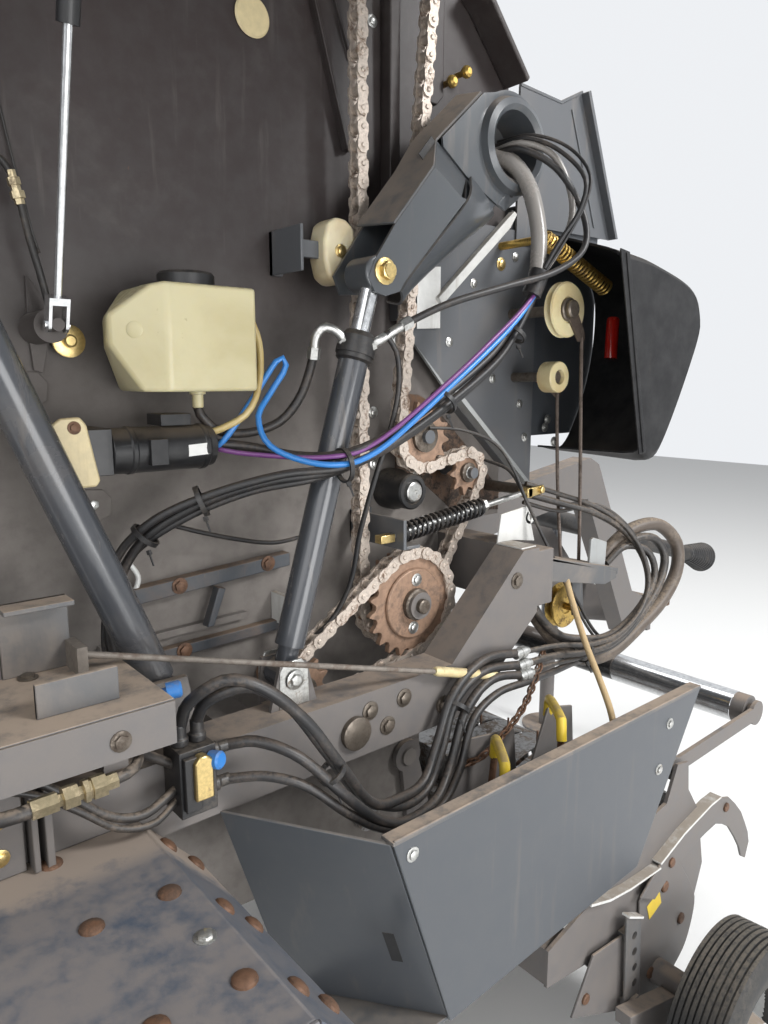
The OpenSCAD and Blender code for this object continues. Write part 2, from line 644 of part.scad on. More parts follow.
module pto_shaft() {
  o = pto_from;
  color("#1b1c1e") frame() {
    bar(o + pto_dir * 14, o + pto_dir * 70, 34, 36);
    bar(o + pto_dir * 70, o + pto_dir * 230, 70, 36);
    bar(o + pto_dir * 230, o + pto_dir * 1200, 40, 36);
    bar(o + pto_dir * 1200, o + pto_dir * 2080, 36, 40);
    bar(o + pto_dir * 2080, o + pto_dir * 2250, 75, 36);
    difference() {
      bar(o + pto_dir * 2250, o + pto_dir * 2310, 32, 40);
      bar(o + pto_dir * 2240, o + pto_dir * 2320, 17.45, 40);
    }
  }
}

// Wheels
module wheel_at(right) { frame() hand(right) translate([0, track_half, axle_z]) rotate([-90, 0, 0]) children(); }
module rim(right) {
  w = tyre_width / 2 - 20;
  color("#b9bcbd") wheel_at(right) rotate_extrude($fn = 64)
    polygon([[stub_r + hub_gap, -95], [70, -95], [70, -30], [150, -10], [188, -40], [188, -w], [rim_r, -w - 6],
      [rim_r, -w + 4], [196, -w + 8], [196, w - 8], [rim_r, w - 4], [rim_r, w + 6], [188, w], [188, -28],
      [150, 2], [78, -18], [78, 60], [60, 70], [stub_r + hub_gap, 70]]);
}
module rim_right() { rim(true); }
module rim_left() { rim(false); }
module tyre(right) {
  h = tyre_width / 2;
  color("#1c1d1e") wheel_at(right) rotate_extrude($fn = 48)
    polygon([[196.3, -h + 40], [rim_r - 3, -h + 36], [rim_r + 12, -h + 12], [300, -h], [370, -h + 10],
      [410, -h + 30], [432, -h + 60], [437, -h + 110], [437, h - 110], [432, h - 60], [410, h - 30],
      [370, h - 10], [300, h], [rim_r + 12, h - 12], [rim_r - 3, h - 36], [196.3, h - 40]]);
}
module tyre_right() { tyre(true); }
module tyre_left() { tyre(false); }

// Tailgate pieces
gate_ws = [V1, V2, V3, V4, V5];
module gate_side(right) {
  color("#2f3337") frame() hand(right) {
    slab(sheet_in, sheet_out) intersection() {
      polygon(band(gate_ws, shell_r + shell_t - 55, 12));
      translate([-1200, 300]) square([1200 + split_x, 2300]);
    }
    // hinge ear over the pin
    difference() {
      union() {
        slab(sheet_out + 5, sheet_out + 25) {
          translate([hinge_x, hinge_z]) circle(r = 50, $fn = 40);
          polygon([[130, 2330], [200, 2330], [450, 2478], [405, 2568], [274, 2432], [130, 2400]]);
        }
        slab(sheet_out, sheet_out + 5) polygon([[130, 2330], [200, 2330], [260, 2372], [260, 2424], [130, 2396]]);
      }
      disc(hinge_x, hinge_z, hinge_r + pin_gap, 600, 700);
    }
    // boss that carries the ram's rod
    disc(ram_top[0], ram_top[1], 34, sheet_out, ram_y - 20.3);
  }
}
module gate_sides() { gate_side(true); gate_side(false); }
module gate_shell() {
  color("#2f3337") frame() slab(-sheet_in, sheet_in) intersection() {
    difference() {
      polygon(band(gate_ws, shell_r + shell_t - 55, 12));
      polygon(band(gate_ws, shell_r - 55, 12));
    }
    translate([-1200, 300]) square([1200 + split_x - 5, 2300]);
  }
}
module gate_rollers() {
  color("#6b6f72") frame() for (w = gate_ws) roller(w[0], w[1], w[2], sheet_in - 0.3);
}
module rear_lamps() {
  color("#a8201c") frame() for (s = [0, 1]) hand(s == 1)
    slab(440, 560) polygon([[-1050, 1400], [-1006.5, 1400], [-1006.5, 1500], [-1050, 1500]]);
}
gate_dir = unit([ram_top[0] - ram_low[0], 0, ram_top[1] - ram_low[1]]);
function gate_at(s) = [ram_low[0], ram_y, ram_low[1]] + gate_dir * s;
module gate_barrel(right) {
  color("#3d4348") frame() hand(right) difference() {
    union() {
      bar(gate_at(24), gate_at(1010), ram_r);
      bar(gate_at(1010), gate_at(1045), ram_r + 4);
      disc(ram_low[0], ram_low[1], 28, ram_y - 18, ram_y + 18);
    }
    disc(ram_low[0], ram_low[1], ram_pin_r + pin_gap, 700, 900);
    bar(gate_at(560), gate_at(1100), ram_rod_r + pin_gap);
  }
}
module gate_rod(right) {
  color("#c9ccce") frame() hand(right) {
    bar(gate_at(570), gate_at(1135), ram_rod_r);
    disc(ram_top[0], ram_top[1], 28, ram_y - 20, ram_y + 20);
    disc(ram_top[0], ram_top[1], 15, ram_y + 20, ram_y + 30);
  }
}
module gate_barrel_right() { gate_barrel(true); }
module gate_barrel_left() { gate_barrel(false); }
module gate_rod_right() { gate_rod(true); }
module gate_rod_left() { gate_rod(false); }

// Pickup pieces
module pickup_frame() {
  color("#3a4046") frame() {
    for (s = [0, 1]) hand(s == 1) {
      difference() {
        union() {
          slab(pick_in, pick_in + 8) polygon([[pick_back - 82, 398], [1400, 380], [1560, 200], [1700, 170],
            [1840, 240], [1900, 400], [1860, 560], [1800, 640], [1790, 715], [1740, 725], [1700, 640],
            [1560, 620], [1400, 520], [pick_back - 82, 482]]);
          slab(sheet_out + 6, sheet_out + 18) {
            polygon([[1226, 770], [1274, 768], [pick_back, 480], [pick_back, 400], [pick_back - 80, 400]]);
            translate([pick_x, pick_z]) circle(r = 38, $fn = 36);
          }
        }
        disc(pick_x, pick_z, 20 + pin_gap, 500, 700);
        disc(reel_x, reel_z, 26, 900, 1100);
      }
      disc(1760, 700, 12, pick_in - 24, pick_in);
      // stub axle of the gauge wheel
      disc(gauge_x, gauge_r, 12.6, pick_in + 8, 1305);
      disc(gauge_x, gauge_r, 30, pick_in + 8, 1175);
    }
    box([pick_back - 80, -pick_in, 400], [pick_back, pick_in, 480]);
  }
}
module pickup_bands() {
  n = floor(pick_in / tine_step);
  color("#8b8f92") frame() for (k = [-n : n - 1]) slab(k * tine_step + 8, (k + 1) * tine_step - 8) {
    // bracket from the cross box
    polygon([[pick_back + 0.3, 462], [1406, 462], [1406, 564], [1465.3, 564], [1465.3, 570], [1400, 570],
      [1400, 468], [pick_back + 0.3, 468]]);
    difference() {
      union() {
        translate([reel_x, reel_z]) circle(r = band_r, $fn = 40);
        translate([1460.3, 405]) square([115, 240]);
      }
      translate([reel_x, reel_z]) circle(r = band_r - 5, $fn = 40);
      translate([1465.3, 300]) square([200, 340]);
      translate([1000, 100]) square([460, 700]);
      translate([1000, 100]) square([1000, 140]);
      translate([1000, 100]) square([640, 305]);
    }
  }
}
module pickup_reel() {
  n = floor(pick_in / tine_step);
  color("#6b6f72") frame() {
    bar([reel_x, -pick_in - 6, reel_z], [reel_x, pick_in + 6, reel_z], 25, 40);
    for (y = [-n * tine_step - 12, 0, n * tine_step + 12]) slab(y - 4, y + 4) difference() {
      translate([reel_x, reel_z]) circle(r = 190, $fn = 36);
      translate([reel_x, reel_z]) circle(r = 25, $fn = 36);
    }
    for (a = [0, 90, 180, 270]) translate([reel_x, 0, reel_z]) rotate([0, a, 0]) {
      bar([170, -n * tine_step - 8, 0], [170, n * tine_step + 8, 0], 13);
      for (k = [-n : n]) bar([180, k * tine_step, 0], [tine_r, k * tine_step, 0], 3, 6);
    }
  }
}
module gauge_wheel(right) {
  color("#232425") frame() hand(right) translate([gauge_x, 1240, gauge_r]) rotate([-90, 0, 0]) {
    rotate_extrude($fn = 40) polygon([[95, -45], [120, -62], [180, -65], [203, -45], [gauge_r, -20], [gauge_r, 20],
      [203, 45], [180, 65], [120, 62], [95, 45]]);
    rotate_extrude($fn = 40) polygon([[13, -60], [40, -60], [40, -12], [95, -8], [95, 8], [40, 12], [40, 60], [13, 60]]);
  }
}
module gauge_wheel_right() { gauge_wheel(true); }
module gauge_wheel_left() { gauge_wheel(false); }
module wind_guard() {
  color("#1d1f21") frame() {
    bar([2200, -1000, 710], [2200, 1000, 710], 42, 40);
    for (s = [0, 1]) hand(s == 1) {
      difference() {
        slab(pick_in - 22, pick_in - 12) {
          polygon([[1760, 680], [1760, 720], [2200, 730], [2200, 690]]);
          translate([1760, 700]) circle(r = 28, $fn = 36);
          translate([2200, 710]) circle(r = 34, $fn = 36);
        }
        disc(1760, 700, 12 + pin_gap, 900, 1100);
      }
      disc(2200, 710, 20, 1000, pick_in - 22);
    }
  }
}
module feed_rotor() {
  color("#5f4a3c") frame() {
    bar([feed_x, -640, feed_z], [feed_x, 640, feed_z], feed_r, 40);
    for (k = [-5 : 5]) slab(k * 110 - 5, k * 110 + 5) translate([feed_x, feed_z]) rotate(k * 24) difference() {
      for (a = [0, 120, 240]) rotate(a) polygon([[-20, 55], [-20, -55], [90, -30], [168, 10], [160, 24], [90, 30]]);
      circle(r = feed_r, $fn = 40);
    }
  }
}
// Side covers and their struts
function cover_line(d) = [[650, 2624 + d], [700, 2619 + d], [800, 2585 + d], [890 + 0.7 * d, 2510 + 0.8 * d],
  [950 + 0.9 * d, 2400 + 0.4 * d], [970 + d, 2300], [975 + d, 1400], [960 + d, 1290]];
module cover_cut(x, w, pts) { translate([x, 0, 0]) rotate([90, 0, 90]) linear_extrude(height = w) polygon(pts); }
module cover_shape() {
  color("#2b2f33") {
    cover_cut(cover_back, 1480 - cover_back, concat(cover_line(cover_t), [for (i = [7 : -1 : 0]) cover_line(0)[i]]));
    for (x = [cover_back, 1474]) cover_cut(x, 6, concat([for (i = [1 : 7]) cover_line(0)[i]], [[925, 1290], [940, 1400],
      [935, 2290], [915, 2380], [860, 2470], [780, 2545], [700, 2590]]));
    // knuckles round the hinge pin
    for (x = [600, 1010]) difference() {
      translate([x, cover_y, cover_z]) rotate([0, 90, 0]) cylinder(h = 40, r = 14.6, $fn = 36);
      translate([x - 10, cover_y, cover_z]) rotate([0, 90, 0]) cylinder(h = 60, r = cover_pin_r + pin_gap, $fn = 36);
    }
    // bracket of the gas strut
    for (x = [480, 514]) cover_cut(x, 6, [[764, 2236], [768, 2262], [860, 2537], [892, 2508], [949, 2400],
      [954, 2372], [800, 2236], [785, 2230]]);
    translate([486, strut_shut.x, strut_shut.y]) rotate([0, 90, 0]) cylinder(h = 28, r = 6, $fn = 24);
  }
}
module cover_turn(t) { translate([0, cover_y, cover_z]) rotate([t, 0, 0]) translate([0, -cover_y, -cover_z]) children(); }
module side_cover_right() { frame() mirror([0, 1, 0]) cover_turn(cover_open) cover_shape(); }
module side_cover_left() { frame() cover_shape(); }
function turned(p, t) = [cover_y + (p.x - cover_y) * cos(t) - (p.y - cover_z) * sin(t),
  cover_z + (p.x - cover_y) * sin(t) + (p.y - cover_z) * cos(t)];
function strut_eye(t) = turned(strut_shut, t);
module strut(t, part) {
  e = strut_eye(t);
  p = [stud.x, e.x, e.y];
  lo = [stud.x, 724, stud.z];
  u = unit(lo - p);
  color(part == 0 ? "#1d1f21" : "#c9ccce") {
    if (part == 0) difference() {
      union() {
        bar(p + u * 8, p + u * 510, 14);
        translate(p - [11, 0, 0]) rotate([0, 90, 0]) cylinder(h = 22, r = 15, $fn = 30);
      }
      translate(p - [20, 0, 0]) rotate([0, 90, 0]) cylinder(h = 40, r = 6 + pin_gap, $fn = 24);
      bar(p + u * 120, p + u * 560, 6 + pin_gap);
    }
    if (part == 1) {
      bar(lo - u * 400, lo - u * 34, 6);
      // fork over the lug, with the ends of its pin
      for (x = [-14, 9.6]) translate(lo + [x, 0, 0]) rotate([0, 90, 0]) cylinder(h = 4.4, r = 11, $fn = 30);
      for (x = [-17, 14]) translate(lo + [x, 0, 0]) rotate([0, 90, 0]) cylinder(h = 3, r = 6, $fn = 24);
      for (x = [-14, 9.6]) multmatrix([[1, 0, 0, lo.x + x], [0, u.z, u.y, lo.y], [0, -u.y, u.z, lo.z], [0, 0, 0, 1]])
        translate([0, -11, -40]) cube([4.4, 22, 40]);
      multmatrix([[1, 0, 0, lo.x - 14], [0, u.z, u.y, lo.y], [0, -u.y, u.z, lo.z], [0, 0, 0, 1]])
        translate([0, -11, -40]) cube([28, 22, 10]);
    }
  }
}
module strut_barrel_right() { frame() mirror([0, 1, 0]) strut(cover_open, 0); }
module strut_rod_right() { frame() mirror([0, 1, 0]) strut(cover_open, 1); }
module strut_barrel_left() { frame() strut(0, 0); }
module strut_rod_left() { frame() strut(0, 1); }

frame_rail_right();
frame_rail_left();
axle();
side_sheet_right();
side_sheet_left();
body_panels();
front_panels();
net_box();
net_box_lid();
hoods();
chamber_rollers();
front_belts();
rear_belts();
gearbox();
sprockets();
drive_chains();
tension_arms();
tension_cylinders();
oil_tank();
pump_and_valve();
side_platform_right();
lower_guard_right();
mudguards();
drawbar();
drawbar_head();
towing_eye();
jack_tube();
jack_leg();
pto_shaft();
rim_right();
rim_left();
tyre_right();
tyre_left();
gate_sides();
gate_shell();
gate_rollers();
rear_lamps();
gate_barrel_right();
gate_barrel_left();
gate_rod_right();
gate_rod_left();
pickup_frame();
pickup_bands();
pickup_reel();
gauge_wheel_right();
gauge_wheel_left();
wind_guard();
feed_rotor();
side_cover_right();
side_cover_left();
strut_barrel_right();
strut_rod_right();
strut_barrel_left();
strut_rod_left();
linkage_right();
hoses_right();
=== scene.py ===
import bpy, bmesh, math
import numpy as np
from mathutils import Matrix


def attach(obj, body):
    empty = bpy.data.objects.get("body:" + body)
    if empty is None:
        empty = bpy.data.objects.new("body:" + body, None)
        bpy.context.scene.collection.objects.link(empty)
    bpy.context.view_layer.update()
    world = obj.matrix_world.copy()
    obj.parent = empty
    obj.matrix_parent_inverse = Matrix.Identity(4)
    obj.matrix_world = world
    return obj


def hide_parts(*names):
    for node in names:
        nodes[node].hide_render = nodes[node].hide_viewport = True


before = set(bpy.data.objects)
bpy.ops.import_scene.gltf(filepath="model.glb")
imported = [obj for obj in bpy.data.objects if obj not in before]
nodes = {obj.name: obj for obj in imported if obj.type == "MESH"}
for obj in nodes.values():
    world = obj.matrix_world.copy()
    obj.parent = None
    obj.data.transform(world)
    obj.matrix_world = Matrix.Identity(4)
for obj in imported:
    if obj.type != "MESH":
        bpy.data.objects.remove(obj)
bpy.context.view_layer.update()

# The frame's origin is the towing eye; places below are measured from the axle at ground level.
axle = np.array([-3.45, 0.0, -0.56])
ground = -0.56

# camera, at the photograph's place beside the right wheel
cameraSet = {"place": (0.15, -1.86, 1.62), "pitch": 80.0, "heading": -40.0, "lens": 26.54}
cameraData = bpy.data.cameras.new("camera")
cameraData.lens = cameraSet["lens"]
cameraData.sensor_width = 36.0
camera = bpy.data.objects.new("camera", cameraData)
bpy.context.scene.collection.objects.link(camera)
camera.location = axle + np.array(cameraSet["place"])
camera.rotation_euler = (math.radians(cameraSet["pitch"]), 0.0, math.radians(cameraSet["heading"]))
bpy.context.scene.camera = camera
print("camera set")


# Materials: every one is built from nodes on object coordinates.
def newMaterial(name):
    made = bpy.data.materials.new(name)
    made.use_nodes = True
    tree = made.node_tree
    return made, tree, tree.nodes["Principled BSDF"]


def put(tree, kind, inputs=None, **settings):
    # adds one node; an input that is a socket is linked, any other is a plain value
    node = tree.nodes.new(kind)
    for key, value in settings.items():
        setattr(node, key, value)
    for key, value in (inputs or {}).items():
        if isinstance(value, bpy.types.NodeSocket):
            tree.links.new(value, node.inputs[key])
        else:
            node.inputs[key].default_value = value
    return node


def placeOn(tree, stretch=(1, 1, 1), shift=(0, 0, 0)):
    # object coordinates, stretched and shifted
    where = put(tree, "ShaderNodeTexCoord").outputs["Object"]
    return put(tree, "ShaderNodeMapping", {"Vector": where, "Scale": stretch, "Location": shift}).outputs[0]


def noise(tree, scale, detail=6.0, rough=0.6, stretch=(1, 1, 1), shift=(0, 0, 0), warp=0.0):
    inputs = {"Vector": placeOn(tree, stretch, shift), "Scale": scale, "Detail": detail,
              "Roughness": rough, "Distortion": warp}
    return put(tree, "ShaderNodeTexNoise", inputs).outputs["Fac"]


def ramp(tree, value, low, high, start=0.0, end=1.0):
    # a smooth step from start to end as the value goes from low to high
    inputs = {"Value": value, "From Min": low, "From Max": high, "To Min": start, "To Max": end}
    return put(tree, "ShaderNodeMapRange", inputs, clamp=True, interpolation_type="SMOOTHSTEP").outputs[0]


def blendColour(tree, amount, first, second):
    node = put(tree, "ShaderNodeMix", data_type="RGBA")
    for index, value in ((0, amount), (6, first), (7, second)):
        if isinstance(value, bpy.types.NodeSocket):
            tree.links.new(value, node.inputs[index])
        else:
            whole = value if index == 0 else tuple(value) + (1.0,) * (4 - len(value))
            node.inputs[index].default_value = whole
    return node.outputs[2]


def mathOn(tree, kind, first, second=0.5):
    clamped = kind not in ("SUBTRACT", "ABSOLUTE")
    return put(tree, "ShaderNodeMath", {0: first, 1: second}, operation=kind, use_clamp=clamped).outputs[0]


def bumpOn(tree, shader, height, strength, distance=0.001):
    bump = put(tree, "ShaderNodeBump", {"Height": height, "Strength": strength, "Distance": distance})
    tree.links.new(bump.outputs[0], shader.inputs["Normal"])


def topward(tree):
    # 0 on walls, 1 on faces that look up, where dust settles
    normal = put(tree, "ShaderNodeNewGeometry").outputs["Normal"]
    return ramp(tree, put(tree, "ShaderNodeSeparateXYZ", {0: normal}).outputs[2], 0.35, 0.95)


def soiledPaint(name, paint, soil=(0.21, 0.16, 0.115), rust=(0.16, 0.065, 0.03), gloss=0.42, dusty=0.5,
                rusty=0.5, streaks=0.35, scale=1.0, coat=0.0, low=0.0, inner=0.0, mirror=0.5):
    # paint, its fading, brown dust in blotches and runs, thick on top faces, and rust specks at worn places
    made, tree, shader = newMaterial(name)
    wide = noise(tree, 2.3 * scale, 9.0, 0.62, warp=0.6)
    fine = noise(tree, 26.0 * scale, 8.0, 0.65, shift=(3, 1, 7))
    grain = noise(tree, 320.0 * scale, 3.0, 0.6)
    runs = noise(tree, 9.0 * scale, 5.0, 0.6, stretch=(4.5, 4.5, 0.35), shift=(5, 2, 0))
    spots = noise(tree, 60.0 * scale, 5.0, 0.7, shift=(9, 4, 2))
    faded = blendColour(tree, ramp(tree, fine, 0.3, 0.75), paint, [0.82 * c + 0.016 for c in paint])
    top = topward(tree)
    onTop = mathOn(tree, "MULTIPLY", top,
        ramp(tree, mathOn(tree, "ADD", fine, mathOn(tree, "MULTIPLY", wide, 0.5)), 0.42, 0.85))
    blotch = ramp(tree, wide, 0.62 - 0.22 * dusty, 0.86 - 0.1 * dusty)
    blotch = mathOn(tree, "MULTIPLY", blotch, ramp(tree, fine, 0.25, 0.7, 0.35, 1.0))
    run = mathOn(tree, "MULTIPLY", ramp(tree, runs, 0.55, 0.78), streaks)
    dust = mathOn(tree, "MAXIMUM", mathOn(tree, "MULTIPLY", blotch, 0.35 + 0.5 * dusty), run)
    dust = mathOn(tree, "MAXIMUM", dust, mathOn(tree, "MULTIPLY", onTop, min(1.0, 0.45 + dusty)))
    # lighter towards the bottom, below about 1.35 m: partly dust splashed up from the ground, partly painted
    # light standing for the bounce off the floor
    if low:
        height = put(tree, "ShaderNodeSeparateXYZ", {0: placeOn(tree)}).outputs[2]
        lowDustAndBounce = mathOn(tree, "MULTIPLY", ramp(tree, height, 1.35, 0.75, 0.0, low),
            ramp(tree, fine, 0.28, 0.62, 0.74, 1.0))
        dust = mathOn(tree, "MAXIMUM", dust, lowDustAndBounce)
    if inner:
        # dry dust that lies only nearer to the middle than this width, with a ragged edge
        across = mathOn(tree, "ABSOLUTE", put(tree, "ShaderNodeSeparateXYZ", {0: placeOn(tree)}).outputs[1])
        ragged = mathOn(tree, "SUBTRACT", across,
            mathOn(tree, "MULTIPLY", mathOn(tree, "ADD", wide, fine), 0.14))
        dust = mathOn(tree, "MAXIMUM", dust, ramp(tree, ragged, inner - 0.12, inner - 0.2, 0.0, 0.95))
    soiled = blendColour(tree, dust, faded, soil)
    worn = mathOn(tree, "MULTIPLY", ramp(tree, spots, 0.71 - 0.05 * rusty, 0.76), ramp(tree, wide, 0.5, 0.62))
    worn = mathOn(tree, "MULTIPLY", worn, rusty)
    tree.links.new(blendColour(tree, worn, soiled, rust), shader.inputs["Base Color"])
    shine = ramp(tree, dust, 0.0, 0.7, gloss, 0.88)
    tree.links.new(mathOn(tree, "MAXIMUM", shine, mathOn(tree, "MULTIPLY", worn, 0.85)),
        shader.inputs["Roughness"])
    shader.inputs["Coat Weight"].default_value = coat
    shader.inputs["Specular IOR Level"].default_value = mirror
    bumpOn(tree, shader, mathOn(tree, "ADD", mathOn(tree, "MULTIPLY", grain, 0.35), dust), 0.25, 0.0008)
    return made


def oldSteel(name, steel, grime, rough=0.35, share=0.45, metal=0.9, scale=1.0, dent=0.3):
    # bare or plated metal under patches of grime
    made, tree, shader = newMaterial(name)
    wide = noise(tree, 11.0 * scale, 7.0, 0.65, warp=0.8)
    fine = noise(tree, 90.0 * scale, 6.0, 0.65, shift=(2, 5, 1))
    mask = ramp(tree,
        mathOn(tree, "ADD", mathOn(tree, "MULTIPLY", wide, 0.65), mathOn(tree, "MULTIPLY", fine, 0.35)),
        0.66 - 0.35 * share, 0.8 - 0.35 * share)
    toned = blendColour(tree, ramp(tree, fine, 0.3, 0.7), steel, [0.72 * c for c in steel])
    tree.links.new(blendColour(tree, mask, toned, grime), shader.inputs["Base Color"])
    tree.links.new(ramp(tree, mask, 0.0, 1.0, rough, 0.85), shader.inputs["Roughness"])
    tree.links.new(ramp(tree, mask, 0.0, 1.0, metal, 0.15), shader.inputs["Metallic"])
    bumpOn(tree, shader, mathOn(tree, "ADD", fine, mask), dent, 0.0008)
    return made


def dullRubber(name, colour, dust=(0.22, 0.18, 0.14), rough=0.6, dusty=0.4, scale=1.0, dent=0.25):
    # rubber or plastic skin with dust in its pores
    made, tree, shader = newMaterial(name)
    wide = noise(tree, 5.0 * scale, 7.0, 0.6, warp=0.5)
    fine = noise(tree, 70.0 * scale, 6.0, 0.7)
    amount = mathOn(tree, "MULTIPLY", ramp(tree, wide, 0.4, 0.75), ramp(tree, fine, 0.35, 0.65))
    amount = mathOn(tree, "MAXIMUM", mathOn(tree, "MULTIPLY", amount, dusty),
        mathOn(tree, "MULTIPLY", mathOn(tree, "MULTIPLY", topward(tree), ramp(tree, fine, 0.3, 0.6)), dusty))
    tree.links.new(blendColour(tree, amount, colour, dust), shader.inputs["Base Color"])
    tree.links.new(ramp(tree, amount, 0.0, 0.8, rough, 0.92), shader.inputs["Roughness"])
    bumpOn(tree, shader, fine, dent, 0.0006)
    return made


def milkyPlastic(name, colour, stain, rough=0.38):
    # translucent plastic moulding, yellowed in clouds, dusty on top
    made, tree, shader = newMaterial(name)
    wide = noise(tree, 7.0, 6.0, 0.55, warp=0.4)
    fine = noise(tree, 60.0, 6.0, 0.65)
    cloud = blendColour(tree, ramp(tree, wide, 0.35, 0.7), colour, stain)
    dust = mathOn(tree, "MULTIPLY", topward(tree), ramp(tree, fine, 0.35, 0.62))
    spot = mathOn(tree, "MAXIMUM", mathOn(tree, "MULTIPLY", dust, 0.55),
        mathOn(tree, "MULTIPLY", ramp(tree, fine, 0.66, 0.74), 0.5))
    tree.links.new(blendColour(tree, spot, cloud, (0.2, 0.15, 0.09)), shader.inputs["Base Color"])
    tree.links.new(ramp(tree, spot, 0.0, 0.6, rough, 0.8), shader.inputs["Roughness"])
    shader.inputs["Subsurface Weight"].default_value = 0.25
    shader.inputs["Subsurface Radius"].default_value = (0.02, 0.014, 0.006)
    bumpOn(tree, shader, fine, 0.08, 0.0006)
    return made


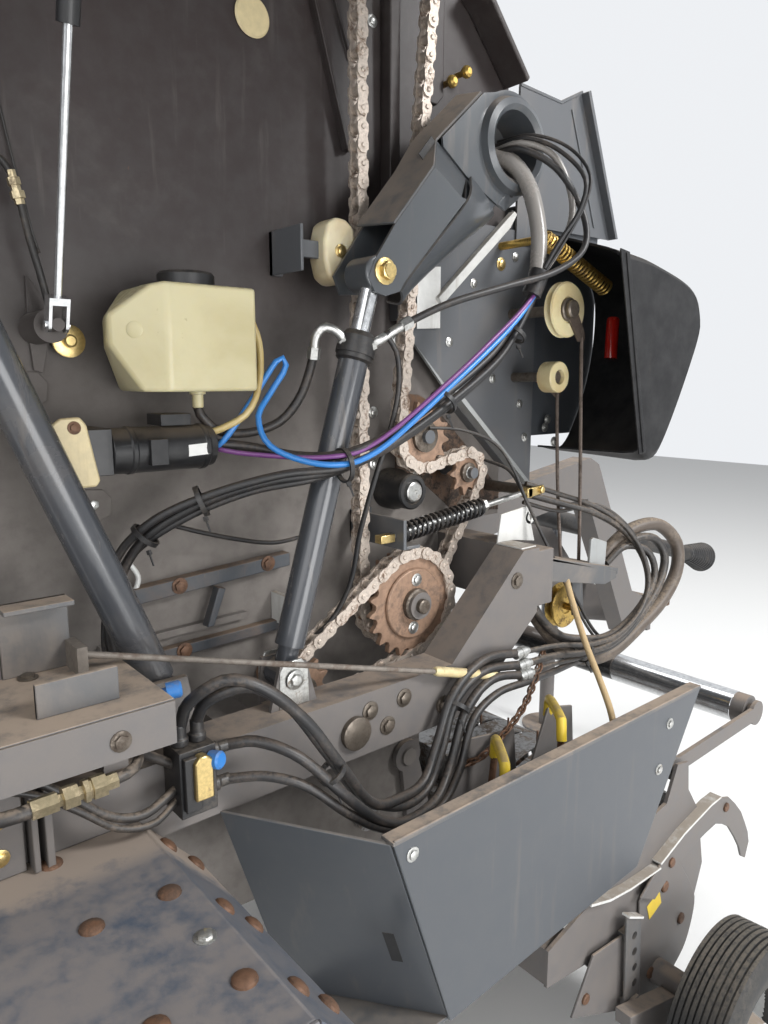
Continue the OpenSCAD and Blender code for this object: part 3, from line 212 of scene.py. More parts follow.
finish = {
    # the sheet's and the frame's low setting lightens their lower parts: partly dust, partly painted
    # ground-bounce light
    "sheet": soiledPaint("sheetPaint", (0.037, 0.029, 0.028), soil=(0.19, 0.173, 0.158), dusty=0.3,
        streaks=0.22, low=0.9, mirror=0.35),
    "frame": soiledPaint("framePaint", (0.072, 0.078, 0.087), soil=(0.27, 0.215, 0.17), dusty=0.45,
        gloss=0.38, rusty=0.7, low=0.3),
    "guard": soiledPaint("guardPaint", (0.058, 0.064, 0.073), soil=(0.18, 0.155, 0.13), dusty=0.22,
        gloss=0.34, rusty=0.25, streaks=0.22),
    "hood": soiledPaint("hoodPaint", (0.013, 0.013, 0.014), soil=(0.07, 0.06, 0.05), dusty=0.15, gloss=0.45,
        rusty=0.1, streaks=0.15, mirror=0.18),
    "mudguard": soiledPaint("mudguardPaint", (0.06, 0.08, 0.112), soil=(0.3, 0.245, 0.2), dusty=0.0,
        gloss=0.4, rusty=0.6, streaks=0.1, inner=1.0),
    "cylinder": soiledPaint("cylinderPaint", (0.048, 0.052, 0.06), soil=(0.24, 0.19, 0.14), dusty=0.3,
        gloss=0.26, rusty=0.3, coat=0.3),
    "panel": soiledPaint("panelPaint", (0.095, 0.1, 0.108), soil=(0.2, 0.165, 0.135), dusty=0.35, gloss=0.36,
        rusty=0.4),
    "rim": soiledPaint("rimPaint", (0.42, 0.43, 0.43), soil=(0.25, 0.2, 0.155), gloss=0.4),
    "rod": oldSteel("rodSteel", (0.74, 0.75, 0.76), (0.28, 0.25, 0.2), rough=0.14, share=0.15, dent=0.05),
    "roller": oldSteel("rollerSteel", (0.38, 0.38, 0.38), (0.1, 0.075, 0.055), rough=0.4, share=0.6),
    "rust": oldSteel("rustySteel", (0.16, 0.085, 0.05), (0.07, 0.042, 0.028), rough=0.6, share=0.55,
        metal=0.35, dent=0.6),
    "chain": oldSteel("chainSteel", (0.6, 0.52, 0.45), (0.2, 0.135, 0.095), rough=0.42, share=0.42, metal=0.5,
        dent=0.45, scale=2.0),
    "belt": dullRubber("beltRubber", (0.022, 0.022, 0.022), rough=0.62, dusty=0.55, scale=1.4),
    "tyre": dullRubber("tyreRubber", (0.018, 0.018, 0.018), dust=(0.17, 0.145, 0.115), rough=0.66, dusty=0.6,
        scale=1.3),
    "black": dullRubber("blackParts", (0.013, 0.013, 0.014), rough=0.42, dusty=0.35, scale=2.0, dent=0.12),
    "tank": milkyPlastic("tankPlastic", (0.52, 0.47, 0.29), (0.44, 0.385, 0.215)),
    "lamp": milkyPlastic("lampRed", (0.35, 0.012, 0.008), (0.28, 0.01, 0.006), rough=0.12),
    "armPaint": soiledPaint("armPaint", (0.06, 0.066, 0.073), soil=(0.2, 0.16, 0.125), dusty=0.3, gloss=0.3,
        rusty=0.35, streaks=0.25, coat=0.15),
    "blackGloss": soiledPaint("pumpPaint", (0.012, 0.012, 0.013), soil=(0.11, 0.085, 0.06), dusty=0.25,
        gloss=0.3, rusty=0.1, streaks=0.15, coat=0.1, mirror=0.3),
    "frameDusty": soiledPaint("frameDusty", (0.085, 0.088, 0.092), soil=(0.34, 0.27, 0.21), dusty=0.8,
        gloss=0.5, rusty=0.7, streaks=0.4),
    "greyPlate": soiledPaint("greyPlate", (0.3, 0.31, 0.31), soil=(0.17, 0.13, 0.09), dusty=0.45, rusty=0.6),
    "palePlate": soiledPaint("palePlate", (0.6, 0.6, 0.58), soil=(0.2, 0.15, 0.1), dusty=0.3, gloss=0.4,
        rusty=0.3),
    "labelPale": soiledPaint("labelPale", (0.72, 0.72, 0.7), soil=(0.3, 0.25, 0.19), dusty=0.25, gloss=0.5,
        rusty=0.1),
    "creamPlate": soiledPaint("creamPlate", (0.6, 0.5, 0.29), soil=(0.3, 0.22, 0.13), rust=(0.22, 0.1, 0.04),
        dusty=0.45, gloss=0.45, rusty=1.0, scale=2.5),
    "yellowGrip": soiledPaint("yellowGrip", (0.66, 0.47, 0.03), soil=(0.2, 0.15, 0.09), dusty=0.35,
        rusty=0.1),
    "rustDisc": oldSteel("rustDisc", (0.32, 0.205, 0.14), (0.15, 0.1, 0.072), rough=0.5, metal=0.3,
        dent=0.45),
    "greasySteel": oldSteel("greasySteel", (0.16, 0.135, 0.11), (0.06, 0.044, 0.032), rough=0.36, share=0.55,
        metal=0.6, dent=0.4),
    "zincGrey": oldSteel("zincGrey", (0.58, 0.58, 0.56), (0.22, 0.17, 0.12), rough=0.32, share=0.35,
        dent=0.15, scale=2.0),
    "zincYellow": oldSteel("zincYellow", (0.66, 0.5, 0.22), (0.24, 0.16, 0.08), rough=0.32, share=0.35,
        dent=0.15, scale=2.0),
    "zincGold": oldSteel("zincGold", (0.62, 0.42, 0.12), (0.18, 0.11, 0.05), rough=0.34, dent=0.2, scale=2.0),
    "brassFit": oldSteel("brassFit", (0.56, 0.47, 0.3), (0.2, 0.15, 0.1), rough=0.33, share=0.4, dent=0.2,
        scale=2.0),
    "nylon": milkyPlastic("nylonBlock", (0.7, 0.63, 0.44), (0.52, 0.42, 0.26), rough=0.45),
    "creamPlastic": milkyPlastic("creamPlastic", (0.68, 0.6, 0.36), (0.5, 0.38, 0.19), rough=0.42),
    "springBlack": dullRubber("springBlack", (0.012, 0.012, 0.013), rough=0.3, dusty=0.3, scale=3.0,
        dent=0.1),
    "hoseBlack": dullRubber("hoseBlack", (0.012, 0.012, 0.013), dust=(0.16, 0.12, 0.09), rough=0.45,
        dusty=0.35, scale=2.0, dent=0.1),
    "conduitPale": dullRubber("conduitPale", (0.24, 0.225, 0.21), dust=(0.2, 0.15, 0.11), rough=0.26,
        dusty=0.3, scale=2.0, dent=0.1),
    "tubeBlue": dullRubber("tubeBlue", (0.03, 0.19, 0.52), rough=0.3, dusty=0.15, scale=3.0, dent=0.05),
    "tubePurple": dullRubber("tubePurple", (0.15, 0.045, 0.18), rough=0.35, dusty=0.2, scale=3.0, dent=0.05),
    "tubeYellow": milkyPlastic("tubeYellow", (0.52, 0.42, 0.2), (0.42, 0.31, 0.12), rough=0.25),
    "cableRusty": dullRubber("cableRusty", (0.014, 0.013, 0.013), rough=0.5, dusty=0.45, scale=3.0, dent=0.1),
    # the big brown hose loop: its colour is lifted and its pale dust is heavy, partly real dust, partly a
    # painted highlight
    "hoseBrownDustAndHighlight": dullRubber("hoseBrownDustAndHighlight", (0.075, 0.058, 0.046), dust=(0.34, 0.27, 0.2), rough=0.5, dusty=0.75,
        scale=2.0, dent=0.2),
    "hoseDusty": dullRubber("hoseDusty", (0.022, 0.02, 0.019), dust=(0.24, 0.19, 0.145), rough=0.45,
        dusty=0.7, scale=2.0, dent=0.15),
    "valveHose": dullRubber("valveHose", (0.016, 0.016, 0.017), dust=(0.17, 0.13, 0.1), rough=0.42, dusty=0.5,
        scale=2.0, dent=0.1),
    "ropeTan": dullRubber("ropeTan", (0.45, 0.33, 0.18), dust=(0.18, 0.13, 0.09), rough=0.9, dusty=0.5,
        scale=4.0, dent=0.6),
    "railRusty": soiledPaint("railRusty", (0.045, 0.052, 0.062), soil=(0.17, 0.12, 0.085),
        rust=(0.19, 0.075, 0.035), dusty=0.8, gloss=0.5, rusty=1.0, streaks=0.5, scale=2.2),
    "rodBrown": oldSteel("rodBrown", (0.13, 0.1, 0.082), (0.06, 0.045, 0.035), rough=0.5, share=0.5,
        metal=0.3),
    "rodDusty": oldSteel("rodDusty", (0.2, 0.175, 0.15), (0.12, 0.09, 0.07), rough=0.6, share=0.5, metal=0.2),
    "greasyRust": oldSteel("greasyRust", (0.105, 0.055, 0.028), (0.028, 0.021, 0.017), rough=0.34, share=0.62,
        metal=0.1, dent=0.7, scale=1.4),
    "glossBlack": soiledPaint("glossBlack", (0.01, 0.01, 0.011), soil=(0.12, 0.09, 0.07), dusty=0.1,
        gloss=0.12, rusty=0.1, streaks=0.1, coat=0.6),
    "bluePlastic": dullRubber("bluePlastic", (0.02, 0.16, 0.46), rough=0.4, dusty=0.35, scale=3.0, dent=0.05),
}
print("materials built:", len(finish))

# which CAD nodes get each finish
cadFinish = {
    "sheet": ["side_sheet_right", "side_sheet_left", "gate_sides"],
    "frame": ["frame_rail_right", "frame_rail_left", "axle", "side_platform_right", "drawbar", "drawbar_head",
        "pickup_frame", "tension_arms", "jack_leg", "gearbox", "wind_guard", "linkage_right"],
    "guard": ["lower_guard_right", "side_cover_right", "side_cover_left", "gate_shell", "body_panels",
        "net_box", "net_box_lid"],
    "hood": ["hoods"],
    "mudguard": ["mudguards"],
    "cylinder": ["tension_cylinders", "gate_barrel_right", "gate_barrel_left", "jack_tube"],
    "panel": ["front_panels"],
    "rim": ["rim_right", "rim_left"],
    "rod": ["gate_rod_right", "gate_rod_left", "strut_rod_right", "strut_rod_left"],
    "roller": ["chamber_rollers", "gate_rollers", "feed_rotor", "pickup_bands"],
    "rust": ["sprockets", "towing_eye", "pickup_reel"],
    "chain": ["drive_chains"],
    "belt": ["front_belts", "rear_belts"],
    "tyre": ["tyre_right", "tyre_left", "gauge_wheel_right", "gauge_wheel_left"],
    "black": ["pump_and_valve", "pto_shaft", "strut_barrel_right", "strut_barrel_left", "hoses_right"],
    "tank": ["oil_tank"],
    "lamp": ["rear_lamps"],
}
for key, names in cadFinish.items():
    for name in names:
        nodes[name].data.materials.clear()
        nodes[name].data.materials.append(finish[key])
bare = sorted(set(nodes) - {name for names in cadFinish.values() for name in names})
print("nodes without a finish:", bare)

# faces that small pieces sit on, in mm outwards from the middle plane: side sheet, front plate, frame rail
sheetFace, plateFace, railFace = 620.3, 646.3, 880.4
outwards = (0, 1, 0)
bevelFrom = math.radians(28)
rightSide, leftSide, bothSides = (-1,), (1,), (-1, 1)
# the CAD node that the small parts of the right side's linkage stand for
linkage = ("linkage_right",)


# Shapes: (points, blocks of faces). Points are in mm from the axle at ground level, with y outwards on
# the side that a piece is built for; makePiece turns them into the frame's metres.
def gridFaces(rows, cols, ring=True):
    # quads between neighbouring rows of a grid; a ring joins the last column to the first
    i, j = np.meshgrid(np.arange(rows - 1), np.arange(cols if ring else cols - 1), indexing="ij")
    k = (j + 1) % cols
    here, below = i * cols, (i + 1) * cols
    return np.stack([here + j, here + k, below + k, below + j], -1).reshape(-1, 4)


def closedGrid(grid):
    # a grid of rings, rows x columns x 3, closed by a flat cap at both ends
    rows, cols = grid.shape[:2]
    last = (rows - 1) * cols + np.arange(cols)
    return grid.reshape(-1, 3), [gridFaces(rows, cols), np.arange(cols)[None, ::-1], last[None]]


def sheetOf(grid, thick):
    # an open grid made into closed sheet metal: a second grid lies a thickness behind it, along the normals
    normal = np.cross(np.gradient(grid, axis=0), np.gradient(grid, axis=1))
    normal /= np.maximum(np.linalg.norm(normal, axis=-1, keepdims=True), 1e-9)
    rows, cols = grid.shape[:2]
    count = rows * cols
    edge = np.concatenate([np.arange(cols), np.arange(1, rows) * cols + cols - 1,
        count - 2 - np.arange(cols - 1), np.arange(rows - 2, 0, -1) * cols])
    after = np.roll(edge, -1)
    front = gridFaces(rows, cols, ring=False)
    return (np.concatenate([grid.reshape(-1, 3), (grid - normal * thick).reshape(-1, 3)]),
            [front, front[:, ::-1] + count, np.stack([edge, after, after + count, edge + count], -1)])


def join(*shapes):
    # several shapes as one
    points, blocks, start = [], [], 0
    for verts, faces in shapes:
        points.append(verts)
        blocks += [face + start for face in faces]
        start += len(verts)
    return np.concatenate(points), blocks


def repeatShape(shape, places, axes):
    # copies of a shape: each copy's own x, y and z run along the rows of its axes matrix
    verts, faces = shape
    copies = np.einsum("vi,nij->nvj", verts, axes) + places[:, None, :]
    starts = np.arange(len(places)) * len(verts)
    blocks = [(face[None] + starts[:, None, None]).reshape(-1, face.shape[1]) for face in faces]
    return copies.reshape(-1, 3), blocks


def plate(outline, low, high):
    # an x-z outline carried along y from low to high
    outline = np.asarray(outline, float)
    rings = np.empty((2, len(outline), 3))
    rings[:, :, 0], rings[:, :, 2] = outline[:, 0], outline[:, 1]
    rings[0, :, 1], rings[1, :, 1] = low, high
    return closedGrid(rings)


def block(low, high):
    # a box between two corners
    (a, b, c), (d, e, f) = low, high
    return plate([(a, c), (d, c), (d, f), (a, f)], b, e)


def sideways(direction):
    # two unit vectors square to a direction
    along = np.asarray(direction, float) / np.linalg.norm(direction)
    other = np.array([0.0, 0.0, 1.0]) if abs(along[2]) < 0.9 else np.array([1.0, 0.0, 0.0])
    first = np.cross(along, other)
    first /= np.linalg.norm(first)
    return along, first, np.cross(along, first)


def turned(profile, centre, steps=32, direction=outwards, phase=0.0):
    # a profile of (distance along, radius) turned round an axis
    along, first, second = sideways(direction)
    profile = np.asarray(profile, float)
    angle = np.linspace(0, 2 * np.pi, steps, endpoint=False) + phase
    ring = np.cos(angle)[:, None] * first + np.sin(angle)[:, None] * second
    grid = np.asarray(centre, float) + profile[:, 0, None, None] * along + profile[:, 1, None, None] * ring
    return closedGrid(grid)


def turnedRing(profile, centre, steps=32, direction=outwards):
    # as turned, but the profile is a closed line clear of the axis, so the shape is a ring
    verts, faces = turned(list(profile) + [profile[0]], centre, steps, direction)
    count = len(profile) * steps
    return verts[:count], [faces[0] % count]


def smoothLine(points, count):
    # a Catmull-Rom curve through the points, in evenly spaced steps
    points = np.asarray(points, float)
    padded = np.concatenate([2 * points[:1] - points[1:2], points, 2 * points[-1:] - points[-2:-1]])
    t = np.linspace(0, len(points) - 1, 12 * len(points))
    i = np.minimum(t.astype(int), len(points) - 2)
    f = (t - i)[:, None]
    a, b, c, d = (padded[i + k] for k in range(4))
    square, cube = 2 * a - 5 * b + 4 * c - d, 3 * b - a - 3 * c + d
    line = 0.5 * (2 * b + (c - a) * f + square * f ** 2 + cube * f ** 3)
    gone = np.concatenate([[0], np.cumsum(np.linalg.norm(np.diff(line, axis=0), axis=1))])
    want = np.linspace(0, gone[-1], count)
    return np.stack([np.interp(want, gone, line[:, k]) for k in range(3)], 1)


def carriedFrames(path):
    # tangents, and a sideways vector that is carried along the path so that it never flips
    tangent = np.gradient(path, axis=0)
    tangent /= np.linalg.norm(tangent, axis=1)[:, None]
    side = np.empty_like(path)
    current = sideways(tangent[0])[1]
    for row, direction in enumerate(tangent):
        current = current - direction * (current @ direction)
        current /= np.linalg.norm(current)
        side[row] = current
    return tangent, side, np.cross(tangent, side)


def tube(path, radius, sides=10):
    # a circle carried along a path; the radius is one number or one per point
    path = np.asarray(path, float)
    tangent, side, up = carriedFrames(path)
    angle = np.linspace(0, 2 * np.pi, sides, endpoint=False)
    ring = side[:, None] * np.cos(angle)[None, :, None] + up[:, None] * np.sin(angle)[None, :, None]
    radius = np.broadcast_to(np.asarray(radius, float), (len(path),))[:, None, None]
    return closedGrid(path[:, None] + ring * radius)


def hose(points, radius, step=14.0, sides=8):
    # a tube along a smooth line, with a ring of points at about every step
    length = np.sum(np.linalg.norm(np.diff(np.asarray(points, float), axis=0), axis=1))
    return tube(smoothLine(points, max(6, int(length / step))), radius, sides)


def coil(start, end, radius, wire, turns):
    # a helix between two points, with 14 points a turn, drawn in to the axis at both ends
    start, end = np.asarray(start, float), np.asarray(end, float)
    along, first, second = sideways(end - start)
    t = np.linspace(0, 1, int(turns * 14))
    angle = 2 * np.pi * turns * t
    reach = radius * np.clip(np.minimum(t, 1 - t) * turns * 2.0 + 0.5, 0, 1)
    ring = np.outer(np.cos(angle), first) + np.outer(np.sin(angle), second)
    return tube(start + np.outer(t, end - start) + reach[:, None] * ring, wire, 6)


def bolt(place, size, direction=outwards, high=0.55):
    # a washer and a six-sided head with a slightly domed top
    wide = 1.35 * size
    flat, top = size * 0.92, (high + 0.1) * size
    disc = turned([(0, wide), (0.16 * size, wide), (0.2 * size, wide * 0.93)], place, 14, direction)
    head = turned([(0.18 * size, flat), (high * size, flat), (top, size * 0.72)], place, 6, direction, 0.4)
    return join(disc, head)


def bolts(places, size, direction=outwards, high=0.55):
    return join(*[bolt(place, size, direction, high) for place in places])


def makePiece(name, look, shape, body="chassis", sides=rightSide, replaces=(),
              bevel=0.0, sharp=32.0, segments=2):
    # one piece: its shape on every side asked for, its body and the node that it replaces
    verts, blocks = join(*[(shape[0] * np.array([1.0, side, 1.0]), shape[1]) for side in sides])
    mesh = bpy.data.meshes.new(name)
    mesh.from_pydata(verts / 1000.0 + axle, [], [row for face in blocks for row in face.tolist()])
    work = bmesh.new()
    work.from_mesh(mesh)
    bmesh.ops.recalc_face_normals(work, faces=work.faces)
    work.to_mesh(mesh)
    work.free()
    mesh.materials.append(finish[look])
    mesh.shade_smooth()
    mesh.set_sharp_from_angle(angle=math.radians(sharp))
    piece = bpy.data.objects.new(name, mesh)
    bpy.context.scene.collection.objects.link(piece)
    if bevel:
        edges = piece.modifiers.new("roundedEdges", "BEVEL")
        edges.width = bevel / 1000.0
        edges.segments = segments
        edges.limit_method = "ANGLE"
        edges.angle_limit = bevelFrom
    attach(piece, body)
    if replaces:
        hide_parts(*replaces)
    return piece


# Drive chains: one link at a time along the loops, with toothed wheels that mesh with the rollers.
chainDrive = {
    "pitch": 31.75, "endRadius": 13.4, "waist": 9.6, "pinRadius": 4.8, "rollerRadius": 9.3, "plate": 3.2,
    "innerPlate": 8.2, "outerPlate": 12.0,
    "main": ((1160, 1165, 90, 1), (1165, 2480, 95, 1), (1236, 1501, 67, -1), (1368, 1415, 45, 1)),
    "lower": ((1160, 1165, 106, 1), (885, 1050, 56, 1)),
    "mainPlane": 690.0, "lowerPlane": 741.0, "toothThick": 13.0,
}


def loopLine(wheels):
    # the line of a loop: an arc on each wheel between its two tangents, and straight runs between them
    def tangent(a, b):
        across = np.array([b[0] - a[0], b[1] - a[1]], float)
        lean = math.asin((a[2] * a[3] - b[2] * b[3]) / np.linalg.norm(across))
        return math.atan2(across[1], across[0]) - lean

    arcs = []
    for index, wheel in enumerate(wheels):
        start = tangent(wheels[index - 1], wheel)
        end = tangent(wheel, wheels[(index + 1) % len(wheels)])
        swept = (wheel[3] * (start - end)) % (2 * math.pi)
        angle = start - wheel[3] * swept * np.linspace(0, 1, 80)
        arcs.append(np.array(wheel[:2]) + wheel[2] * wheel[3] * np.stack([-np.sin(angle), np.cos(angle)], 1))
    return np.concatenate(arcs + [arcs[0][:1]])


def chainPins(wheels, pitch):
    # an even number of pins, evenly spaced round the loop
    line = loopLine(wheels)
    gone = np.concatenate([[0], np.cumsum(np.linalg.norm(np.diff(line, axis=0), axis=1))])
    count = 2 * round(gone[-1] / pitch / 2)
    want = np.arange(count) * gone[-1] / count
    return np.stack([np.interp(want, gone, line[:, k]) for k in (0, 1)], 1)


def chainShape(wheels, plane):
    # inner links with rollers and outer links with pins, by turns along the loop
    c = chainDrive
    half, r = c["pitch"] / 2, c["endRadius"]
    angle = np.radians([-112, -66, -22, 22, 66, 112])
    right = np.stack([half + r * np.cos(angle), r * np.sin(angle)], 1)
    outline = np.concatenate([right, [[0, c["waist"]]], -right, [[0, -c["waist"]]]])
    t, near, far = c["plate"], c["innerPlate"], c["outerPlate"]
    inner = join(
        plate(outline, near, near + t), plate(outline, -near - t, -near),
        *[turned([(-8, c["rollerRadius"]), (8, c["rollerRadius"])], (x, 0, 0), 10) for x in (-half, half)])
    outer = join(
        plate(outline, far, far + t), plate(outline, -far - t, -far),
        *[turned([(-18, 3.6), (-17, c["pinRadius"]), (17, c["pinRadius"]), (18, 3.6)], (x, 0, 0), 8)
            for x in (-half, half)])
    pins = chainPins(wheels, c["pitch"])
    after = np.roll(pins, -1, 0)
    middle, along = (pins + after) / 2, after - pins
    along /= np.linalg.norm(along, axis=1)[:, None]
    places = np.stack([middle[:, 0], np.full(len(pins), plane), middle[:, 1]], 1)
    axes = np.zeros((len(pins), 3, 3))
    axes[:, 0, 0], axes[:, 0, 2], axes[:, 1, 1] = along[:, 0], along[:, 1], 1.0
    axes[:, 2, 0], axes[:, 2, 2] = -along[:, 1], along[:, 0]
    return join(repeatShape(inner, places[::2], axes[::2]), repeatShape(outer, places[1::2], axes[1::2]))


def toothed(wheel, loop, plane):
    # seats under the rollers and teeth between them, turned to where the chain's pins lie
    x, z, r = wheel[:3]
    pins = chainPins(loop, chainDrive["pitch"]) - (x, z)
    near = pins[np.abs(np.linalg.norm(pins, axis=1) - r) < 0.6]
    phase = math.atan2(*near[len(near) // 2][::-1])
    teeth = round(2 * math.pi * r / chainDrive["pitch"])
    share = np.array([0.0, 0.2, 0.34, 0.45, 0.55, 0.66, 0.8])
    reach = r + np.array([-9.8, -7.5, 0.5, 7.0, 7.0, 0.5, -7.5])
    angle = phase + 2 * math.pi * (np.arange(teeth)[:, None] + share).ravel() / teeth
    reach = np.tile(reach, teeth)
    outline = np.stack([x + reach * np.cos(angle), z + reach * np.sin(angle)], 1)
    half = chainDrive["toothThick"] / 2
    return plate(outline, plane - half, plane + half)


main, lower = chainDrive["main"], chainDrive["lower"]
mainY, lowerY = chainDrive["mainPlane"], chainDrive["lowerPlane"]
makePiece("chainLinks", "chain", join(chainShape(main, mainY), chainShape(lower, lowerY)),
    replaces=("drive_chains",), sharp=40)
wheels = [toothed(w, main, mainY) for w in main] + [toothed(w, lower, lowerY) for w in lower]
big, idler, tight, top, small = main[0], main[2], main[3], main[1], lower[1]
hubs = [turned([(0, 30), (60, 30)], (big[0], 622, big[1]), 28),
    turned([(0, 26), (62, 26)], (top[0], sheetFace, top[1]), 28),
    turned([(0, 24), (112, 24)], (small[0], sheetFace, small[1]), 28),
    turned([(-10, 44), (9, 44)], (big[0], 715, big[1]), 36),
    turned([(0, 72), (5, 74), (9, 71), (9, 0.5)], (big[0], lowerY + 5, big[1]), 48)]
makePiece("sprocketWheels", "rustDisc", join(*wheels, *hubs), replaces=("sprockets",), bevel=0.8, segments=1)
makePiece("sprocketHubs", "greasySteel", join(
    turned([(0, 33), (10, 33), (12, 30), (13, 23), (13, 0.5)], (big[0], lowerY + 14, big[1]), 36),
    turned([(0, 15), (17, 15), (19, 12), (19, 0.5)], (big[0], lowerY + 27, big[1]), 24),
    turned([(0, 33), (8, 33), (10, 27), (10, 0.5)], (idler[0], mainY + 6.5, idler[1]), 28),
    turned([(0, 22), (8, 22), (10, 18), (10, 0.5)], (tight[0], mainY + 6.5, tight[1]), 28),
    turned([(0, 30), (12, 30), (15, 26), (15, 0.5)], (top[0], mainY + 6.5, top[1]), 28),
    turned([(0, 27), (10, 27), (12, 22), (12, 0.5)], (small[0], lowerY + 6.5, small[1]), 28)))
makePiece("sprocketBolts", "zincGrey", bolts([(big[0] + 4, lowerY + 14, big[1] + 50),
    (big[0] - 4, lowerY + 14, big[1] - 50), (idler[0], mainY + 16.5, idler[1]),
    (tight[0], mainY + 16.5, tight[1])], 10))
print("chain drive made")

# Chain rubbing block on its bracket, and the round bearing end beside the chain
makePiece("chainBlock", "nylon", plate([(966, 1862), (966, 1830), (974, 1800), (992, 1788), (1014, 1790),
    (1032, 1803), (1038, 1846), (1032, 1889), (1014, 1902), (992, 1904), (974, 1892)], 674, 726),
    replaces=linkage, bevel=7, segments=3)
makePiece("chainBlockBracket", "panel", join(
    block((916, sheetFace, 1806), (938, 632, 1884)), block((916, sheetFace, 1806), (922, 724, 1884)),
    block((922, 696, 1832), (968, 706, 1862))), bevel=1.5)
makePiece("chainBlockBolt", "zincYellow", bolts([(1000, 726, 1846)], 9))
makePiece("bearingEnd", "black", turned(
    [(0, 44), (30, 44), (40, 38), (78, 38), (82, 35), (82, 27), (78, 25), (78, 0.5)], (1202, sheetFace, 1387),
    40), replaces=linkage)
makePiece("bearingEndCap", "zincGrey",
    turned([(0, 21), (8, 21), (10, 18), (10, 5), (8, 4), (8, 0.5)], (1202, 698, 1387), 32))

# Chain tensioner: threaded rod, black coil spring, brass fork and its angle
makePiece("tensionSpring", "springBlack", coil((1112, 762, 1319), (1344, 762, 1348), 17.5, 3.4, 17),
    replaces=linkage)
makePiece("tensionRod", "zincGrey", join(
    tube([(1076, 762, 1314.6), (1496, 762, 1366)], 6.5, 14),
    turned([(0, 15), (12, 15), (14, 12)], (1344, 762, 1348), 6, (1, 0, 0.12)),
    turned([(0, 21), (4, 21)], (1104, 762, 1318), 24, (1, 0, 0.12))), replaces=linkage)
forkOutline = [(1488, 1354), (1540, 1360), (1546, 1368), (1540, 1380), (1486, 1375)]
makePiece("tensionFork", "zincYellow", join(
    plate(forkOutline, 748, 756), plate(forkOutline, 768, 776), block((1484, 748, 1354), (1502, 776, 1376)),
    turned([(0, 8), (40, 8), (42, 6)], (1530, 742, 1369), 14), block((1058, 750, 1306), (1094, 770, 1322))),
    replaces=linkage, bevel=1.5)
makePiece("tensionAngle", "panel", join(
    block((1096, sheetFace, 1292), (1104, 792, 1352)), block((1104, 740, 1292), (1140, 792, 1299)),
    block((1096, sheetFace, 1292), (1150, 628, 1352))), replaces=linkage, bevel=1.5)
makePiece("tensionStand", "greasySteel", turned([(0, 13), (126, 13)], (1515, sheetFace, 1366), 20),
    replaces=linkage)

# Net and cord controls: cream pulleys on studs, cranks, thin rods, spring and the shelf below
makePiece("creamPulley", "creamPlastic", turned([(0, 56), (4, 60), (8, 56), (12, 50), (16, 56), (20, 60),
    (24, 57), (25, 50), (25, 30), (22, 27), (22, 0.5)], (1561, 786, 1770), 48), replaces=linkage)
makePiece("creamPulleyHub", "greasySteel", join(
    turned([(0, 12), (140, 12), (164, 12), (164, 20), (178, 20), (181, 16), (181, 0.5)],
        (1561, plateFace, 1770), 24),
    turned([(0, 26), (7, 26), (9, 23), (9, 0.5)], (1561, 806, 1770), 28)), replaces=linkage)
makePiece("creamRoller", "creamPlastic",
    turnedRing([(0, 35), (36, 35), (38, 33), (38, 17), (34, 16), (0, 16)], (1576, 744, 1624), 40),
    replaces=linkage)
makePiece("creamRollerStud", "greasySteel",
    turned([(0, 11), (118, 11), (120, 14), (128, 14), (130, 11), (130, 0.5)], (1576, plateFace, 1624), 20),
    replaces=linkage)
makePiece("controlRods", "rodBrown", join(
    hose([(1631, 735, 1592), (1629, 740, 1500), (1622, 755, 1350), (1612, 780, 1180)], 4.2, 40),
    hose([(1606, 815, 1712), (1616, 812, 1600), (1640, 806, 1340), (1655, 800, 1168)], 4.2, 40),
    plate([(1550, 1757), (1594, 1702), (1616, 1706), (1614, 1722), (1574, 1782)], 812, 817),
    plate([(1566, 1616), (1624, 1578), (1642, 1582), (1640, 1596), (1584, 1636)], 732, 737)),
    replaces=linkage)
makePiece("goldSpring", "zincGold", join(
    coil((1514, 770, 1921), (1728, 790, 1828), 17.5, 3.0, 22),
    turned([(0, 9), (140, 9)], (1518, plateFace, 1919), 16)), replaces=linkage)
makePiece("cordPulley", "zincGold", join(
    turned(
        [(0, 54), (3, 57), (10, 44), (18, 44), (25, 57), (28, 54), (29, 46), (29, 20), (26, 18), (26, 0.5)],
        (1705, 706, 1047), 44),
    turned([(0, 9), (72, 9)], (1705, 700, 1047), 16)), replaces=linkage)
makePiece("controlShelf", "frameDusty", join(
    plate([(1400.5, 1250), (1400.5, 1222), (1408, 1222), (1408, 1241), (1705, 1166), (1705, 1159),
        (1712, 1158), (1712, 1174)], 801, 873),
    plate([(1436, 1241), (1436, 1234), (1705, 1166), (1705, 1159), (1712, 1158), (1712, 1174)], 762, 801),
    plate([(1436, 1242), (1436, 1188), (1660, 1142), (1705, 1150), (1705, 1166)], 868, 873),
    plate([(1670, 1172), (1712, 1162), (1728, 1035), (1684, 1035)], 764, 770)), replaces=linkage, bevel=1.2)
makePiece("shelfUpright", "greyPlate",
    plate([(1628, 1192), (1692, 1177), (1696, 1236), (1640, 1254), (1632, 1250)], 842, 849), replaces=linkage,
    bevel=1.5)
makePiece("lightPlate", "palePlate", join(
    plate([(1352, 1270.3), (1399, 1270.3), (1399, 1274), (1352, 1274)], 802, 872),
    plate([(1352, 1274), (1399, 1274), (1476, 1262), (1448, 1345), (1362, 1335)], 802, 806),
    turnedRing([(0, 16), (5, 16), (5, 8), (0, 8)], (1458, 801, 1318), 20)),
    replaces=linkage, bevel=1.0)
makePiece("longRod", "rodDusty", join(
    tube([(1090, 900, 1080), (464, 850, 1252)], 5, 12), block((454, 806, 1222.4), (468, 858, 1264)),
    turned([(0, 13), (22, 13)], (1248, railFace, 1032), 16)), replaces=linkage)
makePiece("rodSleeve", "creamPlastic", tube(
    [(1252, 900, 1031), (1245, 900, 1033), (1086, 900, 1082), (1078, 900, 1084.5)], [7, 9.5, 9.5, 7], 16),
    replaces=linkage)
print("controls made")

